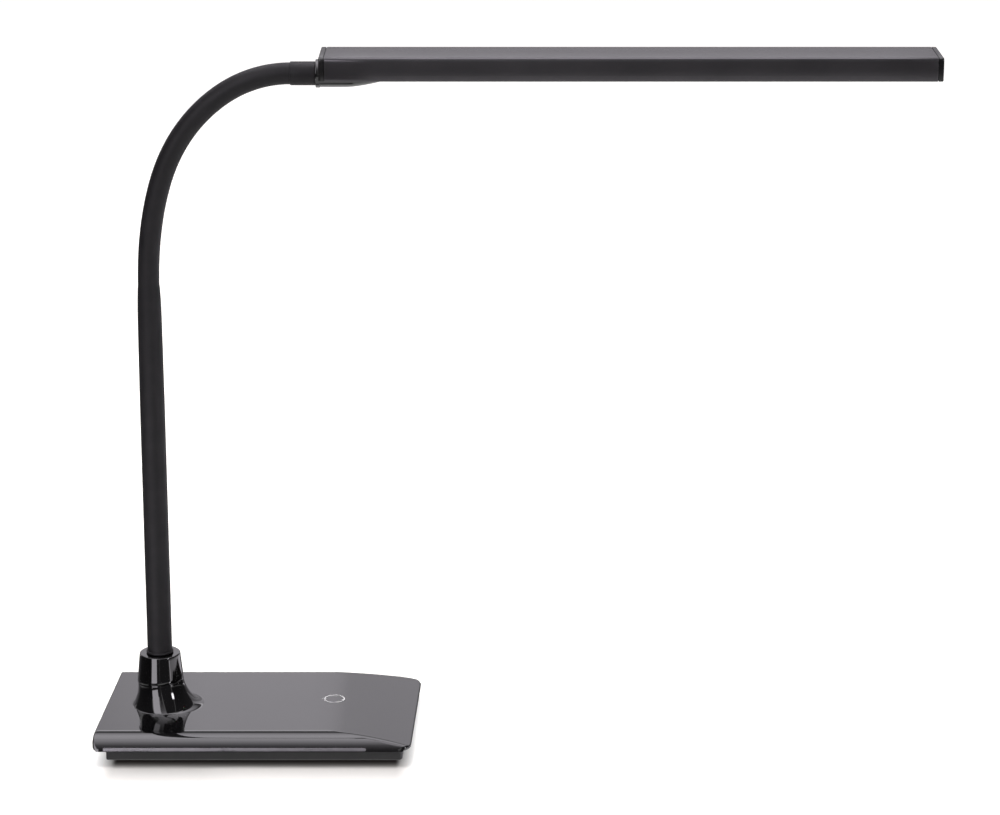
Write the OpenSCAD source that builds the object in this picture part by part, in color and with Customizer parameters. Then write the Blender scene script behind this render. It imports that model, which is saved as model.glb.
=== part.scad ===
// Gooseneck desk lamp: a flat weighted base with a touch switch, a rigid stand that turns into a
// flexible gooseneck, and a long flat LED head.
// Millimetres. The origin is the middle of the base on the desk plane, +Z is up, +X points to the
// head's free end and +Y to the back, where the power socket is.

/* [Base cover] */
// Length of the base, at its mid depth
base_l = 198; // [180:1:230]
// Depth of the base
base_d = 123; // [110:1:150]
// Height of the flat top above the desk
base_h = 17; // [16:0.5:22]
// Radius of the rounded front and back edges
nose_r = 11; // [9:0.5:12]
// Height of the cover's lower edge above the desk
cover_z = 8.1; // [7.8:0.1:9]
// Height of the silver strip in the cover's front edge
trim_h = 2.8; // [2:0.1:3.2]
// Depth of that strip
trim_t = 0.8; // [0.6:0.1:1]
// Distance from the base's middle to the strip's right end
trim_x = 69; // [50:1:75]
// Wall of the cover
cover_wall = 2.2; // [1.6:0.1:2.6]
// How far the left end leans from square, in degrees
left_rake = 3; // [0:0.5:6]
// How far the right end leans from square, in degrees
right_rake = 2; // [0:0.5:6]
// Corner radius at the left end, seen from above
left_corner_r = 4; // [2.5:0.5:10]
// Corner radius at the right end, seen from above
right_corner_r = 8; // [4:0.5:16]
// Length of the stretch at the right end that curves down
droop_l = 48; // [35:1:60]
// Radius of that curve
droop_r = 195; // [180:5:320]

/* [Base inside] */
// Height of the rubber feet
foot_h = 1.2; // [0.8:0.1:1.6]
// Length of a rubber foot
foot_l = 52; // [30:1:60]
// Width of a rubber foot
foot_w = 10; // [6:0.5:14]
// How far the tray stands back from the cover's edge
tray_inset = 5.5; // [4.5:0.1:8]
// Wall of the tray
tray_wall = 2; // [1.5:0.1:2.4]
// Floor of the tray
tray_floor = 2; // [1.6:0.1:2.2]
// Thickness of the steel ballast plate
ballast_t = 5; // [3:0.25:5.5]
// Space for wiring between the tray's floor and the ballast plate
wiring_h = 3.8; // [3.6:0.1:4.2]
// Length of the control board
board_l = 44; // [40:1:50]
// Width of the control board
board_w = 30; // [26:1:34]
// Thickness of the control board
board_t = 1.6; // [1:0.2:2]
// Distance from the base's middle to the touch mark, along the base
touch_x = 47; // [40:1:48]
// Distance from the base's middle to the touch mark, towards the back
touch_y = 7; // [4:1:10]
// Mean diameter of the touch mark's ring
touch_d = 13.3; // [10:0.1:18]
// Width of the touch mark's line
touch_line = 0.9; // [0.6:0.1:1.4]
// Bore of the power socket, for a plug of 5.5 mm
jack_bore_d = 5.7; // [5.6:0.05:5.8]
// Contact pin of the power socket
jack_pin_d = 2.1; // [1.9:0.1:2.5]

/* [Stand] */
// Distance from the base's middle to the stand's axis
arm_offset = 64.3; // [60:0.1:70]
// Height of the moulded flare on the cover
flare_h = 17; // [12:0.5:22]
// Radius of the flare and the collar where they meet
flare_r = 14.6; // [13:0.1:17]
// Radius of the flare's hollow curve
flare_curve_r = 26.3; // [22:0.1:32]
// How far the flare and its seam lean, in degrees
flare_tilt = 5; // [0:0.5:8]
// Height of the collar above the seam
collar_h = 17.7; // [12:0.1:26]
// Radius at the collar's top
collar_top_r = 12.9; // [11:0.1:13]
// Outer diameter of the steel stand tube
tube_d = 12.6; // [12.4:0.1:12.8]
// Wall of the stand tube
tube_wall = 1.15; // [1:0.05:1.25]
// Diameter of the stand's sleeve at the collar
sleeve_foot_d = 15.6; // [15.2:0.1:17]
// Diameter of the stand's sleeve where it starts to taper into the gooseneck
sleeve_neck_d = 15; // [14.4:0.1:15.2]
// Height at which the gooseneck starts
flex_z = 293; // [220:1:340]
// Length of the sleeve's taper below the gooseneck
taper_l = 16; // [12:1:24]

/* [Gooseneck] */
// Length of one bending cell
cell_l = 22.3; // [20:0.1:26]
// Outer diameter of the gooseneck's sleeve
flex_d = 13.3; // [12.8:0.1:13.8]
// Outer diameter of the metal hose
hose_d = 10; // [9.4:0.1:10.2]
// Bore of the metal hose
hose_bore_d = 4.8; // [4.6:0.1:5.4]
// Diameter of the lead inside
lead_d = 3.2; // [2.6:0.1:3.2]
// Outer diameter of the ferrule at the gooseneck's head end
ferrule_d = 14.5; // [14:0.1:16]
// Length of that ferrule
ferrule_l = 15.5; // [14:0.5:20]

/* [Head] */
// Length of the aluminium housing
head_l = 368.8; // [300:0.1:420]
// Depth of the head, front to back
head_d = 40.5; // [38:0.1:46]
// Height of the head
head_h = 14.5; // [14:0.1:17]
// Wall of the aluminium housing
head_wall = 1.8; // [1.4:0.1:2.2]
// Radius of the bulging front and back
head_side_r = 60; // [40:5:120]
// Length of an end cap
cap_l = 3.5; // [2.5:0.1:5]
// Height of the gooseneck's axis above the head's underside
neck_rise = 1.5; // [1.4:0.1:1.8]
// Diameter of the holder's flange
flange_d = 17.2; // [16.4:0.1:19]
// Thickness of the holder's flange
flange_t = 2.6; // [2:0.1:3.5]
// Length of the holder's half-round part under the head
holder_l = 18; // [14:0.5:24]
// Length of the holder's taper
holder_taper_l = 19; // [14:0.5:26]
// Number of LEDs along the head
led_count = 36; // [24:1:42]
// Thickness of the diffuser
diffuser_t = 1.6; // [1.2:0.1:1.6]

/* [Hidden] */
$fn = 96;
// Bend of each cell of the gooseneck as it stands, in degrees; together they turn it level
rest_bend = [5, 5.5, 7, 11.5, 13, 13.5, 17, 17.5];
cells = len(rest_bend);
eps = 0.01;
// Clearance between pieces that are fitted together and stay put
fit = 0.05;
// Clearance between pieces that are only laid beside each other
gap = 0.3;
nose_y = base_d / 2 - nose_r;
nose_z = base_h - nose_r;
droop_x = base_l / 2 - droop_l;
// The curve leaves the flat top at this small angle, so that it makes one clean edge
droop_start = 1;
droop_cx = droop_x - droop_r * sin(droop_start);
droop_cz = base_h - droop_r * cos(droop_start);
big = 2 * base_l;
arm_x = -arm_offset;
seam_z = base_h + flare_h;
collar_z = seam_z + collar_h;
floor_z = foot_h + tray_floor;
ballast_z = floor_z + wiring_h;
ballast_end = base_l / 2 - 19;
ballast_side = base_d / 2 - tray_inset - tray_wall - 2;
boss_x = ballast_end + 5;
boss_y = base_d / 2 - 15.5;
boss_r = 3.6;
screw_r = 1.5;
foot_recess = 0.4;
post_r = 3.5;
flare_seat_r = flare_r + cover_wall + 1;
trim_low = 0.5;
notch_w = 13;
board_z = floor_z + wiring_h - 0.4;
board_x = touch_x - board_l / 2;
board_y = touch_y - board_w / 2;
board_hole = 3;
window_gap = 4;
spring_wire_r = 0.35;
spring_r = 4;
touch_depth = 0.3;
stand_flange_r = 15;
stand_flange_t = 2.4;
flange_screw_r = 2;
flange_screw_at = 10.5;
ballast_top = ballast_z + ballast_t;
jack_w = 9;
jack_body_l = 12.8;
jack_nose_r = 3.3;
jack_z = floor_z + fit + jack_nose_r - 0.25;
wall_y = base_d / 2 - tray_inset;
notch_z = jack_z + 6;
jack_y = wall_y - tray_wall - 0.2;
lead_r = lead_d / 2;
lead_bend_r = 2.8;
jack_lead_bend_r = 8;
lead_z = floor_z + lead_r + 0.1;
jack_lead_r = 1.1;
jack_lead_z = floor_z + jack_lead_r + 0.1;
jack_lead_y = touch_y + 5;
tube_r = tube_d / 2;
tube_bore_r = tube_r - tube_wall;
hose_r = hose_d / 2;
hose_bore_r = hose_bore_d / 2;
ball_r = hose_r + 0.1;
ball_bore_r = hose_bore_r + 0.6;
cup_r = ball_r + gap;
cup_back = 3.2;
lead_tip = 4.8;
lead_stop = 5.6;
hose_seat = 15;
tube_end = flex_z - 3;
bead_r = 0.8;
flex_r = flex_d / 2;
flex_bore_r = hose_r + gap;
ferrule_r = ferrule_d / 2;
hose_grip = 10.5;
head_d2 = head_d / 2;
web_z = 6;
web_t = 1.4;
slot_z = 1;
slot_h = diffuser_t + 0.2;
slot_w = head_d - 4.9;
mouth_w = slot_w - 3.6;
port_y = head_d2 - 5.8;
port_z = head_h - head_wall - 1.6;
port_r = 1.3;
led_board_w = 14;
led_board_t = 1.4;
led_l = 3.5;
led_w = 2.8;
led_t = 0.8;
tongue_w = mouth_w - 2 * gap;
holder_screw_y = 11.5;
tongue_l = holder_l + holder_taper_l + 2;
wire_r = 0.7;
cap_screw_grip = 8;

// ---- Paths ----
// A path is a list of [length, bend] pieces, drawn in the XZ plane from a start [x, z, heading].
// The heading is measured in degrees from +Z towards +X, and a positive bend adds to it.

function arc_r(piece) = piece[0] / (piece[1] * PI / 180);
function side(a) = [cos(a), -sin(a)];
function ahead(a) = [sin(a), cos(a)];
// Place and heading after the length s of one piece
function along(at, piece, s) =
    let (turn = piece[1] * s / piece[0], a = at[2])
    let (step = piece[1] == 0 ? s * ahead(a) : arc_r(piece) * (side(a) - side(a + turn)))
    [at[0] + step[0], at[1] + step[1], a + turn];
// Place and heading after the length s of a whole path
function place(at, path, s, i = 0) =
    (i == len(path) - 1 || s <= path[i][0]) ? along(at, path[i], s)
    : place(along(at, path[i], path[i][0]), path, s - path[i][0], i + 1);
module ring_section(r, bore) {
    difference() {
        circle(r);
        if (bore > 0) circle(bore);
    }
}

// A round tube or rod that starts at the origin along +Z and bends towards +X
module stretch(length, bend, r, bore = 0) {
    if (bend == 0) {
        linear_extrude(length) ring_section(r, bore);
    } else {
        bend_r = length / (bend * PI / 180);
        mirror([0, 0, 1]) translate([bend_r, 0, 0]) rotate([90, 0, 0])
            rotate_extrude(start = 180, angle = bend) translate([bend_r, 0]) ring_section(r, bore);
    }
}

module at_place(at) {
    translate([at[0], 0, at[1]]) rotate([0, at[2], 0]) children();
}

// The arm's own path starts on the desk below the stand, so lengths in the stand are heights
arm_start = [arm_x, 0, 0];
head_run = 80;
arm_path = concat([[flex_z, 0]], [for (b = rest_bend) [cell_l, b]], [[head_run, 0]]);
function cell_start(k) = flex_z + (k - 1) * cell_l;
function joint_s(k) = cell_start(k) + cell_l / 2;
function joint_at(k) = place(arm_start, arm_path, joint_s(k));
flex_end = cell_start(cells + 1);
function bend_of(k) = k < 1 || k > cells ? 0 : rest_bend[k - 1];
neck_at = place(arm_start, arm_path, flex_end);
flange_x = neck_at[0] + ferrule_l;
head_x = flange_x + flange_t;
head_z = neck_at[1] - neck_rise;
body_x = head_x + cap_l;
led_x = body_x + tongue_l + 2;
board_x0 = body_x + tongue_l - 4;
wire_x = head_x + 14;
led_pitch = (head_l - tongue_l - 8) / led_count;

// ---- Base ----

// Outline of the base from above, moved in by the inset; the corners are true arcs, and the swell
// lets them stand out of the sides by a hair, so that they cross the sides instead of touching
function corner_r(right, inset) = max((right ? right_corner_r : left_corner_r) - inset, 0.5);
function end_rake(right) = right ? right_rake : left_rake;
function corner_x(right, y, r, inset) =
    let (a = end_rake(right), s = right ? 1 : -1)
    s * (base_l / 2 - (r + inset) / cos(a)) + y * tan(a);
function corner_at(right, back, inset) =
    let (r = corner_r(right, inset), y = (back ? 1 : -1) * (base_d / 2 - inset - r))
    [corner_x(right, y, r, inset), y];
function end_normal(right) =
    let (a = end_rake(right)) right ? [cos(a), -sin(a)] : [-cos(a), sin(a)];

module base_plan(inset, swell = 0) {
    corners = [[false, false], [true, false], [true, true], [false, true]];
    for (c = corners)
        translate(corner_at(c[0], c[1], inset)) circle(corner_r(c[0], inset) + swell);
    polygon([for (c = corners)
        let (at = corner_at(c[0], c[1], inset), r = corner_r(c[0], inset))
        let (on_end = at + r * end_normal(c[0]), on_side = at + [0, c[1] ? r : -r])
        each (c[0] == c[1] ? [on_end, on_side] : [on_side, on_end])]);
}

// Section of the base across its depth: flat top and round edges
module base_section(inset, z0) {
    intersection() {
        union() {
            translate([-nose_y, z0]) square([2 * nose_y, base_h - inset - z0]);
            for (s = [-1, 1]) translate([s * nose_y, nose_z]) circle(nose_r - inset);
        }
        translate([-base_d, z0]) square([2 * base_d, base_h]);
    }
}

// What the curve at the right end takes off, seen from the front
module droop_cut(inset) {
    difference() {
        translate([droop_cx, 0]) square([big, 2 * base_h]);
        translate([droop_cx, droop_cz]) circle(droop_r - inset, $fn = 360);
    }
}

// The cover's outer form, or the same form moved in by the inset
module cover_block(inset, z0) {
    difference() {
        intersection() {
            rotate([90, 0, 90]) translate([0, 0, -big / 2]) linear_extrude(big)
                base_section(inset, z0);
            linear_extrude(2 * base_h) base_plan(inset, eps);
        }
        translate([0, base_d, 0]) rotate([90, 0, 0]) linear_extrude(2 * base_d) droop_cut(inset);
    }
}

// Height of the cover's form at x
function roof(x, inset) =
    x <= droop_x ? base_h - inset
    : droop_cz + sqrt(pow(droop_r - inset, 2) - pow(x - droop_cx, 2));

// The flare's frame: its origin is the middle of the seam, its axis leans with the seam
module on_seam() {
    translate([arm_x, 0, seam_z]) rotate([0, -flare_tilt, 0]) children();
}

// A turned body under the seam with the flare's hollow curve, moved in by the inset
module flare_body(inset, below) {
    on_seam() rotate_extrude() difference() {
        translate([0, -below]) square([flare_r + flare_curve_r - eps, below]);
        translate([flare_r + flare_curve_r, 0]) circle(flare_curve_r + inset);
    }
}

module touch_mark_plan(grow) {
    mean_r = touch_d / 2;
    half = touch_line / 2 + grow;
    difference() {
        union() {
            circle(mean_r + half);
            translate([-mean_r - 1.6 - grow, -half]) square([3.2 + 2 * grow, 2 * half]);
        }
        difference() {
            circle(mean_r - half);
            translate([-mean_r - 1.6 - grow, -half]) square([3.2 + 2 * grow, 2 * half]);
        }
    }
}

module at_bosses() {
    for (x = [-boss_x, boss_x], y = [-boss_y, boss_y]) translate([x, y, 0]) children();
}

// The silver strip's space in the cover's front edge, larger by the clearance
module trim_block(clear) {
    z0 = cover_z + trim_low - clear;
    x0 = -base_l / 2 + left_corner_r + 1 - clear;
    translate([x0, 0, 0]) rotate([90, 0, 90]) linear_extrude(trim_x + clear - x0) difference() {
        intersection() {
            translate([-nose_y, nose_z]) circle(nose_r + (clear > 0 ? 1 : 0));
            translate([-base_d, z0]) square([base_d - nose_y, trim_h + 2 * clear]);
        }
        translate([-nose_y, nose_z]) circle(nose_r - trim_t - clear);
    }
}

module front_trim() {
    color("silver") trim_block(0);
}

module base_cover() {
    boss_z = floor_z + fit;
    color("dimgray") difference() {
        union() {
            difference() {
                cover_block(0, cover_z);
                cover_block(cover_wall, cover_z - 1);
                translate([arm_x, 0, base_h - 2 * cover_wall])
                    cylinder(r = flare_seat_r + fit, h = 3 * cover_wall);
                translate([touch_x, touch_y, base_h - touch_depth])
                    linear_extrude(1) touch_mark_plan(0);
                trim_block(fit);
                // Notch in the back edge that lets the plug reach the socket
                translate([arm_x - notch_w / 2, wall_y - 1, 0]) cube([notch_w, nose_r, notch_z]);
            }
            for (x = [-boss_x, boss_x], y = [-boss_y, boss_y])
                translate([x, y, boss_z])
                    cylinder(r = boss_r, h = roof(x, cover_wall / 2) - boss_z - 0.2);
        }
        at_bosses() translate([0, 0, boss_z - 1]) cylinder(r = screw_r + fit, h = 7.5);
    }
}

// The flare that the collar stands on: a hollow turned part with a rim let into the cover
module stand_flare() {
    color("dimgray") difference() {
        union() {
            intersection() {
                flare_body(0, flare_h + 4);
                translate([arm_x - base_d / 2, -base_d / 2, base_h])
                    cube([base_d, base_d, flare_h + base_h]);
            }
            translate([arm_x, 0, base_h - cover_wall]) cylinder(r = flare_seat_r, h = cover_wall + eps);
        }
        intersection() {
            flare_body(cover_wall, flare_h + 6);
            translate([arm_x - base_d / 2, -base_d / 2, base_h + cover_wall / 2])
                cube([base_d, base_d, flare_h + base_h]);
        }
        translate([arm_x, 0, 0]) cylinder(r = flare_seat_r - cover_wall + 0.2, h = base_h + cover_wall);
    }
}

module foot_plan(grow) {
    for (x = [-1, 1], y = [-1, 1])
        translate([x * (base_l / 2 - tray_inset - 4 - foot_l / 2), y * (wall_y - 3 - foot_w / 2)]) {
            square([foot_l - foot_w + 2 * grow, foot_w + 2 * grow], center = true);
            for (s = [-1, 1]) translate([s * (foot_l - foot_w) / 2, 0]) circle(foot_w / 2 + grow);
        }
    // A round foot in the middle, so that a finger on the switch doesn't bend the tray
    circle(foot_w + grow);
}

module rubber_feet() {
    color("black") linear_extrude(foot_h + foot_recess) foot_plan(0);
}

module ballast_posts() {
    for (x = [-0.93, -0.2, 0.88], y = [-1, 1])
        translate([x * ballast_end, y * (ballast_side - 7), floor_z])
            translate([0, 0, -1]) cylinder(r = post_r, h = wiring_h + 1 - fit);
}

module at_board_holes() {
    for (x = [board_hole, board_l - board_hole], y = [board_hole, board_w - board_hole])
        translate([board_x + x, board_y + y, 0]) children();
}

module base_tray() {
    rim_h = 1.5;
    color("#303034") difference() {
        union() {
            translate([0, 0, foot_h]) linear_extrude(tray_floor) base_plan(tray_inset, eps);
            translate([0, 0, foot_h]) linear_extrude(cover_z - foot_h) tray_ring(tray_inset);
            // Rim that closes the slot to the cover, up to where the cover curves down
            translate([0, 0, cover_z - 0.4]) linear_extrude(rim_h) intersection() {
                tray_ring(tray_inset - 1.8);
                difference() {
                    translate([droop_x - big, -base_d]) square([big, 2 * base_d]);
                    translate([arm_x - notch_w / 2, wall_y - 1]) square([notch_w, nose_r]);
                }
            }
            ballast_posts();
            at_board_holes() translate([0, 0, floor_z - 1])
                cylinder(r = 2.5, h = board_z - floor_z + 1);
        }
        at_board_holes() translate([0, 0, floor_z - 0.5]) cylinder(r = 1, h = 10);
        at_bosses() {
            translate([0, 0, foot_h + 1]) cylinder(r = screw_r + fit, h = tray_floor);
            translate([0, 0, foot_h - 1]) cylinder(r = 3 + fit, h = 1 + 1.4);
        }
        translate([0, 0, foot_h - 1]) linear_extrude(1 + foot_recess) foot_plan(fit);
        translate([arm_x, wall_y + 5, jack_z]) rotate([90, 0, 0])
            cylinder(r = jack_nose_r + 0.15, h = tray_wall + 8);
    }
}

module tray_ring(inset) {
    difference() {
        base_plan(inset, eps);
        base_plan(tray_inset + tray_wall, eps);
    }
}

module tray_screws() {
    color("silver") at_bosses() translate([0, 0, foot_h + foot_recess + 0.1]) difference() {
        union() {
            cylinder(r = 3, h = 0.9);
            cylinder(r = screw_r, h = 7.2);
        }
        translate([0, 0, -1]) cylinder(r = 1.1, h = 1.5, $fn = 6);
    }
}

module at_flange_screws() {
    for (a = [60, 180, 300])
        translate([arm_x, 0, 0]) rotate([0, 0, a]) translate([flange_screw_at, 0, 0]) children();
}

module ballast_plate() {
    corner = 4;
    color("slategray") translate([0, 0, ballast_z]) difference() {
        linear_extrude(ballast_t) difference() {
            union() {
                square([2 * ballast_end - 2 * corner, 2 * ballast_side], center = true);
                square([2 * ballast_end, 2 * ballast_side - 2 * corner], center = true);
                for (x = [-1, 1], y = [-1, 1])
                    translate([x * (ballast_end - corner), y * (ballast_side - corner)])
                        circle(corner);
            }
            translate([board_x - window_gap, board_y - window_gap])
                square([board_l + 2 * window_gap, board_w + 2 * window_gap]);
            translate([arm_x - jack_w / 2 - 1, jack_y - jack_body_l - 1])
                square([jack_w + 2, jack_body_l + 20]);
            translate([arm_x, 0]) circle(4.5);
        }
        translate([0, 0, -ballast_z]) at_flange_screws() {
            cylinder(r = flange_screw_r + fit, h = base_h);
            translate([0, 0, ballast_z - eps])
                cylinder(r1 = 2 * flange_screw_r + fit, r2 = flange_screw_r, h = flange_screw_r);
        }
    }
}

module flange_screws() {
    color("silver") at_flange_screws() difference() {
        union() {
            translate([0, 0, ballast_z + fit]) cylinder(r = flange_screw_r, h = ballast_t + 2);
            translate([0, 0, ballast_z])
                cylinder(r1 = 2 * flange_screw_r, r2 = flange_screw_r, h = flange_screw_r);
        }
        translate([0, 0, ballast_z - 1]) cylinder(r = 1.25, h = 2, $fn = 6);
    }
}

module stand_flange() {
    color("slategray") difference() {
        translate([arm_x, 0, ballast_top]) cylinder(r = stand_flange_r, h = stand_flange_t);
        translate([arm_x, 0, 0]) cylinder(r = tube_r + fit, h = base_h);
        at_flange_screws() cylinder(r = flange_screw_r + fit, h = base_h);
    }
}

module control_board() {
    color("darkgreen") difference() {
        translate([board_x, board_y, board_z]) cube([board_l, board_w, board_t]);
        at_board_holes() cylinder(r = 1.1, h = base_h);
    }
}

module board_screws() {
    top = board_z + board_t;
    color("silver") at_board_holes() difference() {
        union() {
            translate([0, 0, top]) cylinder(r = 1.9, h = 1.2);
            translate([0, 0, floor_z + 0.5]) cylinder(r = 0.95, h = top - floor_z);
        }
        translate([0, 0, top + 0.6]) cylinder(r = 0.8, h = 1, $fn = 6);
    }
}

module chip(x, y, w, d, h) {
    translate([board_x + x, board_y + y, board_z + board_t]) cube([w, d, h]);
}

module board_parts() {
    // Driver chip, choke, touch chip, plug housings for the two leads, small parts in a row
    color("black") {
        chip(board_l - 14, 5, 5, 6, 1.6);
        chip(board_l - 14, 17, 7, 7, 3.4);
        chip(7, board_w - 8, 4, 4, 1.4);
        for (y = [3.5, board_w / 2 + 1]) chip(1, y + 2, 4, 6, 4);
        for (i = [0:4]) chip(12 + i * 3, 1.5, 1.2, 2, 0.9);
    }
    color("silver") translate([board_x + board_l - 5, board_y + board_w / 2 - 1, board_z + board_t])
        cylinder(r = 2.5, h = 4.5);
}

// Touch spring: a coil from the board up to the cover's underside, as one swept wire
spring_turns = 4;
spring_steps = 14;
spring_sides = 6;
spring_z0 = board_z + board_t + spring_wire_r;
spring_z1 = base_h - cover_wall - spring_wire_r - fit;

function coil_at(i) =
    let (n = spring_turns * spring_steps, a = 360 * i / spring_steps)
    let (rise = min(max((i - spring_steps / 2) / (n - spring_steps), 0), 1))
    [spring_r * cos(a), spring_r * sin(a), spring_z0 + (spring_z1 - spring_z0) * rise];
function coil_ring(i) =
    let (a = 360 * i / spring_steps, c = coil_at(i))
    [for (j = [0:spring_sides - 1])
        let (b = 360 * j / spring_sides)
        c + spring_wire_r * [cos(b) * cos(a), cos(b) * sin(a), sin(b)]];

module touch_spring() {
    n = spring_turns * spring_steps;
    m = spring_sides;
    points = [for (i = [0:n]) each coil_ring(i)];
    skin = [for (i = [0:n - 1], j = [0:m - 1])
        let (k = (j + 1) % m) [i * m + j, i * m + k, (i + 1) * m + k, (i + 1) * m + j]];
    ends = [[for (j = [m - 1:-1:0]) j], [for (j = [0:m - 1]) n * m + j]];
    color("gold") translate([touch_x, touch_y, 0])
        polyhedron(points, concat(skin, ends), convexity = 6);
}

module touch_ring() {
    color("gainsboro") translate([touch_x, touch_y, base_h - touch_depth])
        linear_extrude(touch_depth) touch_mark_plan(0);
}

module power_jack() {
    nose_l = wall_y - 0.2 - jack_y;
    color("#202022") difference() {
        union() {
            translate([arm_x - jack_w / 2, jack_y - jack_body_l, floor_z + fit])
                cube([jack_w, jack_body_l, 2 * jack_nose_r - 0.5]);
            translate([arm_x, jack_y + nose_l, jack_z]) rotate([90, 0, 0])
                cylinder(r = jack_nose_r, h = nose_l + 2);
        }
        translate([arm_x, wall_y + 1, jack_z]) rotate([90, 0, 0])
            cylinder(d = jack_bore_d, h = 11);
    }
    color("silver") translate([arm_x, wall_y - 1.5, jack_z]) rotate([90, 0, 0])
        cylinder(d = jack_pin_d, h = 10);
}

// Lead from the power socket to the board, on the tray's floor
module jack_lead() {
    r = jack_lead_bend_r;
    y0 = jack_y - jack_body_l - fit;
    down = y0 - jack_lead_y - r;
    across = board_x + 7 - arm_x - r;
    color("#151515") translate([arm_x + r, jack_lead_y, jack_lead_z]) rotate([-90, 0, 0]) {
        rotate([0, -90, 0]) stretch(r * PI / 2, 90, jack_lead_r);
        rotate([0, 90, 0]) stretch(across, 0, jack_lead_r);
        translate([-r, 0, r]) stretch(down, 0, jack_lead_r);
    }
}

// ---- Stand ----

module arm_collar() {
    spigot_r = flare_r - cover_wall - 0.15;
    top_wall = 3;
    color("#0c0c0e") difference() {
        union() {
            difference() {
                translate([arm_x, 0, seam_z - 3])
                    cylinder(r1 = flare_r + 0.02 * collar_h, r2 = collar_top_r, h = collar_h + 3);
                on_seam() translate([0, 0, -20]) cylinder(r = 2 * flare_r, h = 20 + fit);
                intersection() {
                    translate([arm_x, 0, 0]) cylinder(r = collar_top_r - 2.2, h = collar_z - top_wall);
                    on_seam() translate([0, 0, -20]) cylinder(r = 2 * flare_r, h = 80);
                }
            }
            on_seam() translate([0, 0, -2.5]) difference() {
                cylinder(r = spigot_r, h = 5);
                translate([0, 0, -1]) cylinder(r = spigot_r - 1.8, h = 7);
            }
        }
        translate([arm_x, 0, 0]) cylinder(r = tube_r + 0.2, h = collar_z + 1);
    }
}

module stand_tube() {
    color("silver") translate([arm_x, 0, ballast_top])
        stretch(tube_end - ballast_top, 0, tube_r, tube_bore_r);
}

// The sleeve on the stand: a bead at its foot and a taper to the gooseneck's size
module stand_sleeve() {
    z0 = collar_z + 0.1;
    bore_r = tube_r + 0.1;
    taper_z = flex_z - taper_l;
    color("#0c0c0e") translate([arm_x, 0, 0]) rotate_extrude() difference() {
        union() {
            polygon([[0, z0], [sleeve_foot_d / 2, z0], [sleeve_neck_d / 2, taper_z],
                [flex_r, flex_z], [0, flex_z]]);
            translate([sleeve_foot_d / 2, z0 + bead_r]) circle(bead_r);
        }
        translate([-1, z0 - 1]) square([bore_r + 1, tube_end + gap - z0 + 1]);
        translate([-1, z0]) square([flex_bore_r + 1, flex_z - z0 + 1]);
    }
}

// ---- Gooseneck ----

// Frames along the arm: at a joint, and at the middle of a link, where two cells meet
module at_joint(k) {
    at_place(joint_at(k)) children();
}

module at_link(k) {
    at_place(place(arm_start, arm_path, cell_start(k + 1))) children();
}

// Round stock through link k: back into its first cell and ahead into the next one
module through_link(k, back, front, r, bore = 0) {
    at_link(k) {
        mirror([0, 0, 1]) stretch(back, bend_of(k) * back / cell_l, r, bore);
        stretch(front, bend_of(k + 1) * front / cell_l, r, bore);
    }
}

// One rigid link of the metal hose: a ball at its joint and a cup for the next one
module hose(k) {
    back = k == 0 ? hose_seat : cell_l / 2;
    front = k == cells ? hose_grip : cell_l / 2 - cup_back;
    color("darkgray") difference() {
        union() {
            through_link(k, back, front, hose_r, hose_bore_r);
            if (k > 0) at_joint(k) intersection() {
                sphere(ball_r);
                translate([0, 0, 1.5 - 2 * ball_r])
                    cube([3 * ball_r, 3 * ball_r, 4 * ball_r], center = true);
            }
        }
        if (k > 0) at_joint(k) translate([0, 0, -2 * ball_r])
            cylinder(r = ball_bore_r, h = 2 * ball_r + 2);
        if (k < cells) at_joint(k + 1) sphere(cup_r);
    }
}

// The lead inside one link; in the base it comes from the board, in the head it splits in two
module lead(k) {
    back = k == 0 ? flex_z - lead_z - lead_bend_r : cell_l / 2 + lead_tip;
    front = k == cells ? wire_x - neck_at[0] : cell_l / 2 - lead_stop;
    color("#151515") {
        through_link(k, back, front, lead_r);
        if (k == 0) base_stretch();
        if (k == cells) head_wires();
    }
}

module base_stretch() {
    across = board_x + 6 - arm_x - lead_bend_r;
    translate([arm_x, 0, lead_z + lead_bend_r]) {
        mirror([0, 0, 1]) stretch(lead_bend_r * PI / 2, 90, lead_r);
        translate([lead_bend_r, 0, -lead_bend_r]) rotate([0, 90, 0]) stretch(across, 0, lead_r);
    }
}

// Two wires that slant from the split lead up to the LED board's underside
module head_wires() {
    rise = web_z - led_board_t - wire_r - gap - neck_rise;
    reach = board_x0 + 4 - wire_x;
    for (y = [-0.8, 0.8]) translate([wire_x - 1, y, neck_at[1]])
        rotate([0, 90 - atan(rise / reach), 0]) cylinder(r = wire_r, h = reach + 1);
}

// One cell of the soft sleeve over the hose
module sleeve(k) {
    color("#0c0c0e") at_place(place(arm_start, arm_path, cell_start(k)))
        stretch(cell_l - fit, bend_of(k) * (1 - fit / cell_l), flex_r, flex_bore_r);
}

module neck_ferrule() {
    color("#0c0c0e") at_place(neck_at) stretch(ferrule_l - fit, 0, ferrule_r, hose_r + 0.1);
}

// ---- Head ----

// Outline of the head's section: flat top and underside, bulging front and back
module head_outline() {
    intersection() {
        translate([-head_d2, 0]) square([head_d, head_h]);
        for (s = [-1, 1]) translate([s * (head_side_r - head_d2), head_h / 2])
            circle(head_side_r, $fn = 360);
    }
}

module head_ports(r) {
    for (s = [-1, 1]) translate([s * port_y, port_z]) circle(r, $fn = 48);
}

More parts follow.
